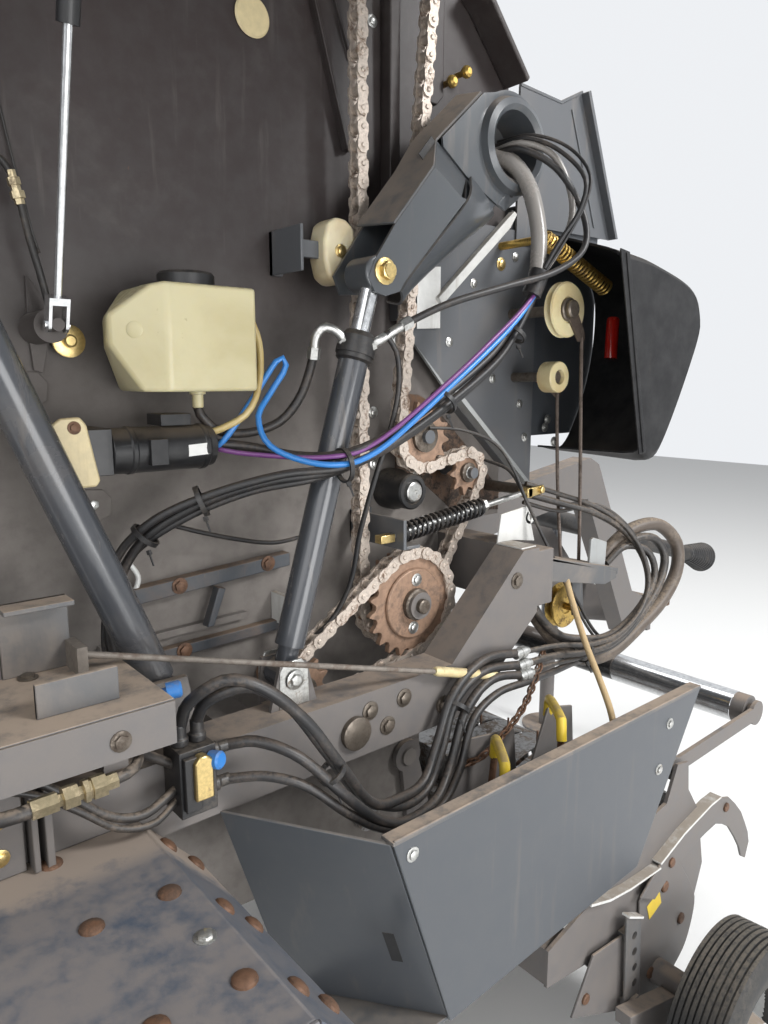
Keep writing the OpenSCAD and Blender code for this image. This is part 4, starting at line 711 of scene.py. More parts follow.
# Tension arms: folded sheet, with a flat head round a rimmed opening, a bright joggle down to the body
# plate, a dusty flange along the top and a rounded underside
armHead, armTail, headRadius = (1365, 2070), (1012, 1801), 101


def rayOut(centre, outline, angle):
    # how far an outline lies from a centre along each angle
    start = np.asarray(outline, float) - centre
    edge = np.roll(start, -1, 0) - start
    way = np.stack([np.cos(angle), np.sin(angle)], 1)
    under = way[:, None, 0] * edge[None, :, 1] - way[:, None, 1] * edge[None, :, 0]
    under = np.where(np.abs(under) < 1e-9, 1e-9, under)
    reach = (start[None, :, 0] * edge[None, :, 1] - start[None, :, 1] * edge[None, :, 0]) / under
    share = (start[None, :, 0] * way[:, None, 1] - start[None, :, 1] * way[:, None, 0]) / under
    return np.where((share >= -1e-6) & (share <= 1 + 1e-6) & (reach > 0), reach, 0).max(1)


def panelOf(corners, thick):
    # a flat plate through the corners, with its thickness behind them
    ring = np.asarray(corners, float)
    square = np.cross(ring[1] - ring[0], ring[2] - ring[1])
    square *= -np.sign(square[1]) / np.linalg.norm(square)
    return closedGrid(np.stack([ring, ring + square * thick]))


around = np.radians(np.linspace(118, -35, 24))
headOutline = np.concatenate([[(1283, 2151)],
    np.stack([armHead[0] + headRadius * np.cos(around), armHead[1] + headRadius * np.sin(around)], 1),
    [(1396, 1986), (1377, 1976), (1350, 1948), (1326, 1958), (1244, 1994), (1167, 2045)]])
angle = np.linspace(0, 2 * np.pi, 73)
reach = rayOut(armHead, headOutline, angle)
# each row of the head: share of the way to the outline, least radius and distance outwards
headSteps = [(0, 68, 640), (0, 68, 800), (0, 69, 815), (0, 74, 819), (0, 82, 816), (0, 88, 800),
    (0.5, 88, 799), (1, 88, 798)]
headRows = []
for share, fixed, y in headSteps:
    radius = np.minimum(fixed + share * (reach - fixed), reach)
    headRows.append(np.stack(
        [armHead[0] + radius * np.cos(angle), np.full(len(angle), y), armHead[1] + radius * np.sin(angle)],
        1))
bodyOutline = [(1127, 1987), (1195, 1947), (1209, 1945), (1064, 1794), (1046, 1770), (1014, 1760),
    (990, 1766), (976, 1788), (990, 1817), (1035, 1880)]
underTop = smoothLine(
    [(1244, 806, 1994), (1209, 835, 1945), (1130, 835, 1862), (1064, 835, 1794), (1046, 835, 1770)], 18)
underLow = smoothLine(
    [(1352, 768, 1950), (1330, 764, 1928), (1210, 760, 1852), (1110, 760, 1790), (1076, 762, 1762)], 18)
underRows = [underTop * (1 - t) + underLow * t + np.array([5.0, 12.0, -12.0]) * math.sin(math.pi * t)
    for t in np.linspace(0, 1, 7)]
flangeOut = np.array([(1283, 798, 2151), (1225, 798, 2098), (1167, 798, 2045), (1127, 835, 1987),
    (1080, 835, 1932), (1035, 835, 1880)], float)
backOutline = [(1283, 2151), (1400, 2160), (1448, 2070), (1425, 1990), (1345, 1945), (1090, 1775),
    (990, 1768), (976, 1800), (1035, 1880), (1167, 2045)]
makePiece("armBodies", "armPaint", join(
    sheetOf(np.stack(headRows), 5.0), panelOf([(x, 835, z) for x, z in bodyOutline], 6),
    panelOf([(1167, 798, 2045), (1244, 798, 1994), (1195, 835, 1947), (1127, 835, 1987)], 6),
    panelOf([(1244, 798, 1994), (1326, 798, 1958), (1300, 796, 1930), (1209, 832, 1945)], 6),
    sheetOf(np.stack(underRows), -5.0), plate(backOutline, 732, 738),
    turnedRing([(0, 78), (160, 78), (160, 72), (0, 72)], (armHead[0], sheetFace, armHead[1]), 48)),
    sides=bothSides, replaces=("tension_arms",), bevel=1.2, sharp=38)
makePiece("armFlanges", "frameDusty",
    sheetOf(np.stack([flangeOut, flangeOut * [1, 0, 1] + [-6, 738, 8]]), 5.0), sides=bothSides,
    replaces=("tension_arms",), bevel=1.2)
makePiece("armTabs", "armPaint", join(
    plate([(1326, 1958), (1350, 1948), (1388, 1975), (1398, 1992), (1380, 2006)], 799, 805),
    turned([(0, 30), (60, 30), (62, 27), (62, 0.5)], (armTail[0] - 10, 772, armTail[1] - 4), 28)),
    sides=bothSides, bevel=1.5)
# black discs and a black slot stand for the dark inside of the arm's holes: painted shade
makePiece("armHolesPaintedShade", "black", join(
    *[turned([(0, 5), (0.8, 5)], (x, y, z), 14) for x, y, z in ((1268, 798, 2019), (1366, 805, 1980))],
    plate([(1120, 2015), (1150, 2050), (1160, 2042), (1132, 2006)], 799, 801)), sides=bothSides)
makePiece("armPins", "zincYellow", join(
    bolts([(armTail[0], 835, armTail[1])], 17, high=0.8),
    turned([(0, 12), (130, 12)], (armTail[0], 722, armTail[1]), 20),
    bolts([(1330, 618, 2210), (1462, 640, 1905), (1520, 646, 1880)], 11)), sides=bothSides)

# Tension rams: painted barrel, gland nut, bright rod and eyes
ramLow = np.array([806.0, 809.0, 1123.0])
ramAlong = np.array([202.0, 0.0, 679.0])
ramLong = np.linalg.norm(ramAlong)
ramAlong /= ramLong
makePiece("ramBarrels", "cylinder", join(
    turned([(18, 19), (48, 19), (50, 26), (560, 26), (562, 24)], ramLow, 36, ramAlong),
    turnedRing([(-22, 25), (22, 25), (22, 12.4), (-22, 12.4)], ramLow, 32)), sides=bothSides,
    replaces=("tension_cylinders",))
makePiece("ramGlands", "black", join(
    turned([(548, 27), (552, 32), (590, 32), (594, 28), (600, 24)], ramLow, 36, ramAlong),
    turnedRing([(560, 34.5), (572, 34.5), (572, 31), (560, 31)], ramLow, 36, ramAlong),
    turnedRing([(-22, 25), (22, 25), (22, 12.4), (-22, 12.4)], ramLow + ramAlong * ramLong, 32)),
    sides=bothSides, replaces=("tension_cylinders",))
makePiece("ramRods", "rod", turned([(596, 17), (ramLong - 20, 17)], ramLow, 32, ramAlong), sides=bothSides,
    replaces=("tension_cylinders",))
makePiece("ramFork", "zincGrey", join(
    *[plate([(776, 1076), (836, 1076), (834, 1140), (822, 1156), (790, 1156), (778, 1140)], y, y + 5)
        for y in (774, 839)],
    bolt((806, 846, 1123), 13)), sides=bothSides, bevel=1.5)
print("tension arms and rams made")

# Oil tank: a moulded bottle with soft edges, seam, cap and outlet
# its outline is carried outwards in three rings; the rear end draws in behind and before its fullest depth
tankOutline = np.array(
    [(563, 1668), (600, 1601), (632, 1601), (780, 1601), (780, 1759), (632, 1759), (614, 1755), (563, 1712)],
    float)
tankRings = np.stack(
    [np.column_stack([tankOutline[:, 0], np.full(8, y), tankOutline[:, 1]]) for y in (646.0, 742.0, 799.0)])
shoulder = 632
short = tankOutline[:, 0] < shoulder
beyond = shoulder - tankOutline[short, 0]
tankRings[0, short, 0] += 30 * beyond / 69
tankRings[2, short, 1] = 799 - 0.72 * beyond
tankPoints, tankFaces = closedGrid(tankRings)
# the outer cap is bent at the shoulder, so it is two flat faces
tankFaces[2:] = [np.array([[16, 17, 18, 21, 22, 23]]), np.array([[18, 19, 20, 21]])]
makePiece("oilTank", "tank", (tankPoints, tankFaces), replaces=("oil_tank",), bevel=6, segments=4)
makePiece("oilTankSeam", "tank", join(
    turned([(0, 12), (2, 12), (3, 10), (3, 0.5)], (594, 770, 1690), 28, (-0.58, 0.81, 0)),
    turned([(0, 13), (6, 13), (7, 9), (26, 9), (28, 7)], (712, 722, 1602), 20, (0, 0, -1))))
makePiece("oilTankCap", "black",
    turned([(0, 38), (2, 44), (19, 44), (23, 41), (24, 37), (24, 0.5)], (700, 722, 1759.5), 24, (0, 0, 1)),
    replaces=("oil_tank",))
makePiece("tankStraps", "panel",
    join(*[block((x, sheetFace, 1640), (x + 20, 647, 1700)) for x in (620, 740)]), replaces=("oil_tank",),
    bevel=1)

# Pump with its oblong plate, and the valve block with its fittings
makePiece("pumpBody", "blackGloss", join(
    turned([(0, 30), (3, 35), (30, 35), (31, 37), (38, 37), (39, 35.5), (150, 35.5), (151, 37), (158, 37),
        (160, 34), (172, 32), (174, 28), (174, 0.5)], (557, 722, 1512), 40, (1, 0, 0)),
    block((500, sheetFace, 1480), (557, 756, 1548)), block((640, 686, 1548), (690, 740, 1566)),
    block((612, 745, 1490), (640, 764, 1530))), replaces=("pump_and_valve",), bevel=1.2)
makePiece("pumpPlate", "creamPlate", plate([(467, 1545), (471, 1557), (483, 1566), (510, 1567), (519, 1556),
    (534, 1474), (528, 1466), (500, 1466), (489, 1478)], 756, 764), replaces=("pump_and_valve",), bevel=3)
makePiece("pumpPlateBolts", "rust", bolts([(501, 764, 1552)], 7))
makePiece("pumpTag", "labelPale", plate([(676, 1500), (712, 1502), (712, 1520), (676, 1518)], 755, 757.6))
makePiece("valveBlock", "black", join(
    block((556, railFace, 1008), (612, 935, 1108)), block((560, 935, 1020), (584, 944, 1100)),
    *[turned([(0, 13), (10, 13), (12, 10), (30, 10), (32, 8)], (x, 908, 1108), 14, (0, 0, 1))
        for x in (570, 597)],
    *[turned([(0, 12), (14, 12), (16, 9), (34, 9)], (612, 908, z), 14, (1, 0, 0)) for z in (1030, 1084)]),
    replaces=("pump_and_valve",), bevel=1.5)
makePiece("valveFace", "zincYellow",
    plate([(572, 1036), (600, 1036), (600, 1094), (590, 1102), (580, 1102), (572, 1092)], 935, 951),
    replaces=("pump_and_valve",), bevel=2.5)
makePiece("blueCaps", "bluePlastic", join(
    turned([(0, 13), (16, 13), (19, 10), (19, 0.5)], (603, 936, 1086), 20, (0.4, 0.8, 0.1)),
    turned([(0, 6), (22, 6), (22, 12), (40, 12), (43, 9), (43, 0.5)], (534, 900, 1190), 20, (1, 0.35, 0.1))))
makePiece("couplings", "brassFit", turned([(0, 12), (29, 12), (30, 8), (34, 8), (35, 14), (52, 14), (53, 9),
    (57, 9), (58, 14.5), (64, 14.5), (65, 12), (67, 12), (68, 14.5), (84, 14.5), (85, 10), (98, 10)],
    (345, 1009, 1142), 6, (1, 0.02, 0.04), 0.3))
print("tank, pump and valve made")

# Hoses and wires on the right side, each (points, radius); a kind is one piece and its finish
hoseRuns = {
    "conduitPale": [([(1345, 740, 2060), (1364, 800, 2044), (1380, 838, 1990), (1376, 868, 1908),
        (1364, 880, 1836), (1353, 884, 1806)], 17),
        ([(1360, 760, 2070), (1376, 820, 2076), (1414, 868, 2050), (1440, 892, 1985), (1436, 900, 1925),
            (1398, 896, 1862), (1364, 890, 1820)], 6.5)],
    "hoseBlack": [([(1360, 890, 1826), (1353, 887, 1806), (1343, 883, 1780)], 19),
        ([(1362, 760, 2080), (1378, 826, 2084), (1412, 880, 2058), (1434, 930, 2000), (1424, 928, 1940),
            (1386, 912, 1880), (1361, 898, 1830)], 4.5),
        ([(1372, 760, 2090), (1396, 830, 2092), (1440, 884, 2066), (1452, 928, 2010), (1440, 926, 1950),
            (1402, 910, 1880), (1366, 898, 1826)], 3.5),
        ([(1352, 760, 2062), (1366, 826, 2062), (1416, 880, 2020), (1458, 912, 1940), (1440, 930, 1870),
            (1370, 915, 1822), (1260, 895, 1790), (1130, 872, 1752), (1040, 852, 1712), (1004, 846, 1694)],
            6.5),
        ([(1350, 884, 1786), (1300, 872, 1718), (1240, 868, 1660), (1120, 868, 1588), (1000, 868, 1528),
            (905, 862, 1498), (845, 815, 1494), (790, 752, 1508), (731, 724, 1516)], 8),
        ([(1354, 882, 1782), (1306, 880, 1710), (1246, 878, 1648), (1124, 876, 1574), (1000, 874, 1512),
            (900, 866, 1476), (800, 830, 1468), (700, 780, 1440), (620, 735, 1400), (572, 700, 1340),
            (556, 690, 1260), (560, 700, 1180), (590, 730, 1120)], 7),
        ([(1348, 880, 1776), (1296, 874, 1694), (1236, 872, 1634), (1116, 870, 1562), (990, 866, 1502),
            (880, 856, 1470), (780, 812, 1456), (690, 762, 1424), (616, 716, 1372), (578, 690, 1300),
            (570, 685, 1220), (582, 700, 1140), (612, 735, 1100)], 8),
        ([(1342, 878, 1772), (1284, 866, 1684), (1220, 864, 1626), (1100, 862, 1554), (980, 858, 1494),
            (860, 846, 1460), (760, 796, 1440), (670, 745, 1400), (600, 700, 1345), (566, 680, 1280),
            (552, 680, 1200), (560, 690, 1130)], 6),
        ([(903, 777, 1668), (902, 768, 1640), (888, 755, 1590), (856, 740, 1548), (800, 728, 1530),
            (745, 722, 1536), (716, 716, 1566), (712, 720, 1576)], 8),
        ([(1010, 846, 1690), (1028, 850, 1660), (1034, 846, 1600), (1020, 840, 1530), (1000, 820, 1440),
            (990, 790, 1340), (985, 770, 1250), (960, 750, 1180), (920, 735, 1140)], 5),
        ([(640, 700, 1395), (700, 690, 1370), (790, 680, 1340), (880, 668, 1318), (960, 660, 1320)], 4)],
    "tubeBlue": [([(731, 722, 1500), (752, 740, 1526), (790, 752, 1580), (822, 758, 1628), (838, 762, 1650),
        (850, 766, 1654), (850, 768, 1636), (822, 764, 1596), (796, 768, 1556), (804, 800, 1508),
        (868, 862, 1482), (960, 878, 1500), (1122, 882, 1604), (1250, 884, 1692), (1306, 886, 1738),
        (1350, 886, 1782)], 5.2)],
    "tubePurple": [([(731, 724, 1508), (780, 770, 1498), (868, 856, 1494), (960, 874, 1514),
        (1122, 884, 1616), (1250, 888, 1706), (1308, 888, 1748), (1352, 888, 1786)], 4.2)],
    "tubeYellow": [([(779, 742, 1728), (800, 748, 1712), (812, 752, 1670), (806, 756, 1610), (784, 756, 1566),
        (752, 744, 1544), (729, 730, 1534)], 6)],
    "cableRusty": [([(1420, 700, 1440), (1436, 760, 1420), (1440, 800, 1370), (1450, 830, 1310),
        (1480, 850, 1240), (1520, 860, 1180), (1560, 868, 1120), (1600, 884, 1050), (1646, 898, 1004)], 4),
        ([(1236, 712, 1520), (1320, 730, 1512), (1400, 750, 1480), (1430, 780, 1420), (1440, 812, 1350),
            (1470, 838, 1270), (1506, 852, 1200), (1546, 862, 1130), (1580, 882, 1060), (1610, 900, 1014)],
            3.5)],
    "hoseBrownDustAndHighlight": [([(1400.5, 840, 1168), (1450, 846, 1090), (1530, 856, 1008), (1610, 866, 968),
        (1700, 874, 968), (1800, 882, 1010), (1900, 886, 1062), (1962, 886, 1130), (1968, 876, 1200),
        (1910, 856, 1252), (1830, 836, 1250), (1760, 822, 1215), (1712.5, 815, 1166)], 17)],
    "hoseDusty": [([(348, 1009, 1142), (330, 1008, 1141), (306, 1000, 1140), (282, 970, 1142),
        (268, 930, 1150), (262, 886, 1160)], 9),
        ([(440, 1011, 1146), (456, 1009, 1147), (474, 996, 1148), (486, 970, 1148), (496, 936, 1140),
            (520, 908, 1110), (560, 905, 1080)], 7),
        ([(1402, 856, 1150), (1460, 862, 1080), (1540, 876, 1026), (1620, 890, 1004), (1700, 896, 1012),
            (1790, 900, 1060), (1866, 896, 1120), (1900, 884, 1180), (1866, 866, 1226), (1790, 846, 1222),
            (1722, 826, 1176)], 11),
        ([(1404, 870, 1130), (1470, 882, 1064), (1550, 900, 1040), (1630, 908, 1032), (1716, 908, 1052),
            (1790, 906, 1096), (1838, 896, 1150), (1828, 876, 1200), (1770, 850, 1214), (1716, 836, 1178)],
            9),
        ([(1330, 905, 1035), (1430, 905, 1030), (1540, 912, 1014), (1640, 918, 1018), (1730, 914, 1050),
            (1800, 902, 1110), (1812, 880, 1180), (1770, 850, 1250), (1690, 820, 1300), (1600, 790, 1330),
            (1500, 760, 1360)], 8),
        ([(1328, 898, 1060), (1440, 908, 1052), (1550, 922, 1034), (1650, 930, 1042), (1740, 924, 1080),
            (1790, 908, 1140), (1792, 880, 1212), (1752, 846, 1276), (1680, 812, 1322), (1596, 784, 1352),
            (1500, 756, 1384)], 6),
        ([(1328, 912, 1016), (1430, 904, 1010), (1540, 900, 998), (1650, 908, 1000), (1744, 906, 1034),
            (1818, 894, 1100), (1830, 872, 1180), (1786, 842, 1264), (1700, 810, 1320), (1600, 776, 1312),
            (1500, 750, 1340)], 5)],
    "valveHose": [([(572, 908, 1136), (580, 926, 1176), (630, 958, 1206), (700, 984, 1160), (770, 986, 1060),
        (850, 972, 950), (950, 950, 884), (1032, 930, 876), (1086, 914, 930), (1130, 904, 1010),
        (1210, 902, 1050), (1330, 905, 1036)], 9),
        ([(597, 908, 1136), (606, 930, 1172), (660, 964, 1188), (726, 990, 1130), (792, 990, 1034),
            (866, 976, 934), (950, 954, 902), (1020, 936, 900), (1070, 918, 952), (1120, 908, 1030),
            (1210, 902, 1074), (1330, 898, 1060)], 9),
        ([(644, 908, 1084), (680, 936, 1088), (730, 972, 1060), (790, 1000, 990), (860, 996, 918),
            (944, 972, 868), (1040, 948, 862), (1100, 926, 906), (1150, 914, 990), (1230, 908, 1030),
            (1330, 912, 1016)], 9),
        ([(640, 908, 1030), (690, 940, 1030), (742, 972, 1008), (800, 994, 952), (870, 990, 896),
            (950, 966, 850), (1050, 950, 846), (1116, 934, 890), (1164, 920, 968), (1240, 914, 1000),
            (1332, 914, 1000), (1430, 900, 990), (1540, 880, 980), (1612, 868, 970)], 8)],
    "ropeTan": [([(1540, 850, 1178), (1516, 868, 1176), (1500, 900, 1130), (1480, 950, 1060),
        (1462, 1000, 1000), (1446, 1040, 950), (1440, 1060, 900), (1446, 1070, 840)], 7)],
}
for kind, runs in hoseRuns.items():
    piece = makePiece(kind, kind, join(*[hose(points, radius) for points, radius in runs]), sharp=60)
    if kind in ("conduitPale", "hoseBlack", "hoseBrownDustAndHighlight"):
        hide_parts("hoses_right")
print("hoses made:", sum(len(runs) for runs in hoseRuns.values()))

# Side sheet: a plug, bolt heads, brackets, ribs and the rusty rails along it
makePiece("sheetPlug", "creamPlate",
    turned([(0, 32), (4, 34), (7, 31), (7, 0.5)], (892, sheetFace, 2233), 32))
sheetBoltPlaces = [(1160, 1551), (1163, 1442), (1216, 1416), (1282, 1420), (482, 1606), (569, 1417),
    (1218, 1700), (1246, 1880), (1160, 2300)]
makePiece("sheetBolts", "zincGrey", bolts([(x, sheetFace, z) for x, z in sheetBoltPlaces], 9),
    sides=bothSides)
makePiece("sheetRails", "railRusty", join(
    plate([(604, 1240), (930, 1262), (930, 1288), (604, 1268)], sheetFace, 646),
    plate([(640, 1128), (925, 1136), (925, 1156), (640, 1148)], sheetFace, 640),
    plate([(742, 1180), (756, 1180), (782, 1246), (768, 1250)], 640, 662)), sides=bothSides, bevel=2)
makePiece("railRustyBolts", "rust", bolts([(700, 646, 1262), (880, 646, 1274), (706, 640, 1140)], 11),
    sides=bothSides)
makePiece("sheetBrackets", "palePlate", join(
    plate([(560, 1356), (590, 1330), (600, 1290), (586, 1280), (574, 1320), (552, 1344)], 622, 634),
    block((900, sheetFace, 1150), (912, 690, 1210)), block((900, 684, 1140), (925, 690, 1215))), bevel=1.5)
makePiece("frontRibs", "sheet", join(
    plate([(1168, 2592), (1206, 2566), (1206, 1940), (1180, 1940), (1180, 2570)], sheetFace, 652),
    plate([(1300, 2488), (1340, 2460), (1340, 2200), (1322, 2180), (1300, 2180)], sheetFace, 636),
    plate([(1404, 2418), (1436, 2394), (1552, 2272), (1545, 2262), (1428, 2384), (1398, 2406)], sheetFace,
        690)), sides=bothSides, bevel=3)

# Front plates: the bright bent flanges, a blank label, bolts and the tall plate's edge
makePiece("frontFlange", "greyPlate", join(
    plate([(1338, 1604), (1372, 1572), (1650, 1328), (1656, 1336), (1380, 1580), (1346, 1612)], 646, 672),
    plate([(1208, 1734), (1216, 1724), (1374, 1576), (1366, 1570)], 646, 652)), sides=bothSides, bevel=1.5)
makePiece("frontFlangeHigh", "palePlate",
    plate([(1306, 1790), (1318, 1776), (1530, 1958), (1552, 1990), (1542, 1996), (1514, 1972)], 646, 664),
    sides=bothSides, bevel=1.5)
makePiece("labelPlate", "labelPale",
    plate([(1254, 1724), (1322, 1728), (1322, 1856), (1254, 1850)], 651.2, 652.4), bevel=0.6)
makePiece("frontBolts", "zincGrey", bolts([(1356, plateFace, 1700), (1430, plateFace, 1830),
    (1600, plateFace, 1560), (1622, plateFace, 1478), (1500, plateFace, 1620), (1570, plateFace, 1900)], 8),
    sides=bothSides)
makePiece("tallPlateEdge", "panel", join(
    plate([(1944, 1979), (1800, 2306), (1790, 2301), (1934, 1978)], 645, 672),
    plate([(1566, 2268), (1714, 2262), (1797, 2303), (1793, 2309), (1712, 2269), (1566, 2275)], 645, 653),
    plate([(1752, 2258), (1758, 2258), (1868, 2000), (1862, 2000)], 651, 654)), sides=bothSides, bevel=1)
print("side sheet and front plates dressed")

# Hood: a sculpted shell that narrows outwards, with a strip, bolts and two red parts inside
hoodInner = np.array(
    [(1655, 1968), (1720, 1960), (1860, 1880), (1905, 1790), (1880, 1610), (1790, 1450), (1680, 1450)], float)
hoodFace = np.array(
    [(1545, 1880), (1680, 1868), (1842, 1830), (1895, 1775), (1885, 1690), (1745, 1450), (1657, 1455)], float)


def hoodRing(share, y, grow):
    # a smooth line between the inner and the outer outline; its left end stays open
    outline = hoodInner + (hoodFace - hoodInner) * share
    line = smoothLine(np.column_stack([outline[:, 0], np.full(len(outline), y), outline[:, 1]]), 48)
    return line + (line - [outline[:, 0].mean(), y, outline[:, 1].mean()]) * grow


hoodRows = [(0.0, 643, 0.0), (0.45, 780, 0.0), (0.88, 902, 0.0), (0.97, 928, -0.012), (1.0, 938, -0.035),
    (1.0, 942, -0.08)]
hoodGrid = np.stack([hoodRing(*row) for row in hoodRows])
makePiece("hoodShell", "hood", join(sheetOf(hoodGrid, -5.0), plate(hoodGrid[-1][:, [0, 2]], 937, 942)),
    sides=bothSides, replaces=("hoods",), sharp=45)
makePiece("hoodStrip", "hood", join(
    plate([(1543, 1881), (1576, 1877), (1682, 1458), (1655, 1455)], 942, 946),
    plate([(1560, 1874), (1568, 1873), (1674, 1460), (1666, 1459)], 946, 949)), sides=bothSides, bevel=3,
    segments=3)
makePiece("hoodBolts", "zincGrey", bolts([(1700, 655, 1520), (1690, 655, 1500), (1670, 700, 1468)], 9),
    sides=bothSides)
makePiece("hoodRedParts", "lamp", join(
    turned([(0, 15), (90, 15), (96, 12), (96, 0.5)], (1745, 800, 1668), 20, (0.1, -0.05, 1)),
    turned([(0, 8), (6, 8), (8, 6), (8, 0.5)], (1660, 652, 1618), 16)))
print("hood made")

# Front guard: folded rims on the tray's panels, bolts, a faint patch, yellow handles and a small chain
makePiece("guardPanels", "guard", join(
    plate([(800, 955), (1695, 955), (1476, 612), (925, 580)], 1100, 1106),
    panelOf([(641, 880, 962), (800, 1100, 949), (925, 1100, 586), (757, 880, 586)], 6),
    plate([(757, 580), (925, 580), (1330, 604), (1330, 610), (925, 586), (757, 586)], 880, 1100)),
    replaces=("lower_guard_right",), bevel=2.0, segments=3)
makePiece("guardRim", "frameDusty", join(
    plate([(800, 949), (1691, 949), (1695, 955.6), (800, 955.6)], 1078, 1106.5),
    tube([(803, 1104, 954.5), (1692, 1104, 954.5)], 3.4, 8)), replaces=("lower_guard_right",), bevel=1.5)
makePiece("guardBolts", "zincGrey", bolts([(838, 1106, 922), (1568, 1106, 905), (1536, 1106, 812)], 9))
makePiece("guardPatch", "hood",
    panelOf([(795.6, 1086, 800), (806.5, 1100, 800), (826, 1100, 742), (815, 1086, 742)], 1))
gripPlaces = [(1153, 1000, 900), (1315, 1000, 936)]
handle = [(0, 0), (4, 20), (8, 62), (16, 72), (60, 76), (104, 72), (112, 62), (116, 20), (120, 0)]
makePiece("yellowGrips", "yellowGrip", join(
    *[hose([(x + (u - 60) * 0.6, y - (u - 60) * 0.75, z + v * 0.55) for u, v in handle], 10, 12, 12)
        for x, y, z in gripPlaces]))
makePiece("handleStems", "rust", join(
    *[tube([(x + 34, y - 42, z + 3), (x + 20, y - 66, z - 300)], 7, 10) for x, y, z in gripPlaces],
    *[tube([(x - 34, y + 42, z + 3), (x - 20, y + 30, z - 270)], 7, 10) for x, y, z in gripPlaces],
    block((1100, 930, 622), (1400, 1046, 636))))
makePiece("trayPlates", "frame", join(
    plate([(1010, 640), (1130, 930), (1300, 905), (1330, 640)], 905, 911),
    plate([(1190, 620), (1340, 960), (1420, 940), (1450, 660)], 960, 966)), bevel=1.5)
linkPins = smoothLine([(1130, 905, 875), (1180, 930, 890), (1240, 940, 930), (1300, 935, 965),
    (1370, 910, 1010), (1410, 895, 1050)], 26)
linkLong, linkWide, wireRadius = 13, 6.5, 2.4
linkGrids = []
angle, turn = np.linspace(0, 2 * np.pi, 13)[:-1], np.linspace(0, 2 * np.pi, 7)[:-1]
for index, (start, end) in enumerate(zip(linkPins[:-1], linkPins[1:])):
    # each link is an oval ring of wire; every other one is turned by a quarter
    along, first, second = sideways(end - start)
    across = first if index % 2 else second
    oval = np.outer(np.cos(angle), along) * linkLong + np.outer(np.sin(angle), across) * linkWide
    ring = (start + end) / 2 + oval
    third = np.cross(along, across)
    outward = (ring - ring.mean(0)) / np.linalg.norm(ring - ring.mean(0), axis=1)[:, None]
    wire = np.cos(turn)[None, :, None] * outward[:, None] + np.sin(turn)[None, :, None] * third
    grid = ring[:, None] + wireRadius * wire
    count = grid.shape[0] * grid.shape[1]
    linkGrids.append((grid.reshape(-1, 3), [gridFaces(grid.shape[0] + 1, grid.shape[1]) % count]))
makePiece("smallChain", "rust", join(*linkGrids))
print("guard made")

# Mudguards: pressed plates with rounded edges, rusty round rivets and bolts
rivetProfile = [(0, 15), (3, 14), (6, 10), (7.5, 4), (7.5, 0.5)]
mudLine = [(-646, 833), (-503, 1000), (513, 1000), (606, 893)]
topRivets = [(x, y) for x in (-420, -150, 120, 388) for y in (905, 1055, 1232)] + [(482, 1056), (484, 1235)]
makePiece("mudguardRivets", "rust", join(
    *[turned(rivetProfile, (x, y, 999.5), 16, (0, 0, 1)) for x, y in topRivets],
    *[turned(rivetProfile, (x, y, z), 16, (0.755, 0, 0.656)) for x, z in ((540, 969), (580, 923))
        for y in (920, 1085, 1250)],
    *[turned([(0, 12), (3, 11), (6, 7), (6, 0.5)], (x, 1329.5, 965), 16) for x in (-400, -100, 200, 460)]),
    sides=bothSides)
makePiece("mudguardBolts", "zincGrey",
    bolts([(481, 1152, 999.5), (-20, 1150, 999.5), (230, 1150, 999.5)], 10, (0, 0, 1)), sides=bothSides)
makePiece("mudguardEdge", "mudguard", join(
    *[tube([(a[0], 1327, a[1] - 3), (b[0], 1327, b[1] - 3)], 4.5, 10)
        for a, b in zip(mudLine[:-1], mudLine[1:])]), sides=bothSides)
makePiece("mudguardFaces", "mudguard", join(
    plate([(-646, 833), (-646, 800), (-500, 950), (505, 950), (606, 860), (606, 893), (513, 1000),
        (-503, 1000)], 1324, 1330),
    plate([(-640, 830), (-500, 994), (510, 994), (600, 890), (606, 893), (513, 1000), (-503, 1000),
        (-646, 833)], 880, 1324)), sides=bothSides, replaces=("mudguards",), bevel=4, segments=3)

# Platform: dusty top plates with their bolts, the rail's bolts and its stay
makePiece("platformTop", "frameDusty", join(
    plate([(121, 1222.2), (461, 1222.2), (523, 1222.2), (523, 1225), (121, 1225)], 801, 1006),
    plate([(372, 1225), (461, 1225), (461, 1327), (372, 1327)], 800.5, 808),
    plate([(372, 1320), (461, 1320), (461, 1327), (372, 1327)], 808, 842),
    plate([(372, 1225), (470, 1225), (470, 1268), (372, 1268)], 955, 963)), bevel=2)
makePiece("platformBolts", "greasySteel", join(
    bolts([(400, 820, 1225), (180, 860, 1225), (300, 960, 1225)], 10, (0, 0, 1)),
    bolts([(205, 1007, 1190), (452, 1007, 1190)], 10)))
makePiece("railBolts", "greasySteel", join(
    bolts([(-180, 880, 1020), (-60, 880, 1040), (980, 880, 1000), (940, 880, 1040), (1020, 880, 1042),
        (1120, 880, 1000), (1330, 880, 1210)], 13),
    turned([(0, 30), (10, 30), (12, 26), (12, 0.5)], (905, 880, 1010), 24)), sides=bothSides)
makePiece("railStay", "frame", join(
    plate([(1390, 1140), (1452, 1140), (1452, 1262), (1390, 1262)], 801, 879),
    block((1396, 786, 1128), (1446, 801, 1270))), bevel=3)
print("mudguards and platform dressed")

# Wheels: tyres with lugs, beads and sidewall ribs, and rims with bolts and a cap
wheelSpec = {"centre": 1100.0, "height": 437.0, "lugs": 32, "lugSlope": 0.55, "lugShare": 0.30}
tyreProfile = [(-150, 197), (-164, 213), (-184, 226), (-189, 234), (-197, 262), (-200, 300), (-197, 345),
    (-190, 372), (-176, 398), (-160, 410), (-140, 417), (-90, 421), (0, 423), (90, 421), (140, 417),
    (160, 410), (176, 398), (190, 372), (197, 345), (200, 300), (197, 262), (189, 234), (184, 226),
    (164, 213), (150, 197)]


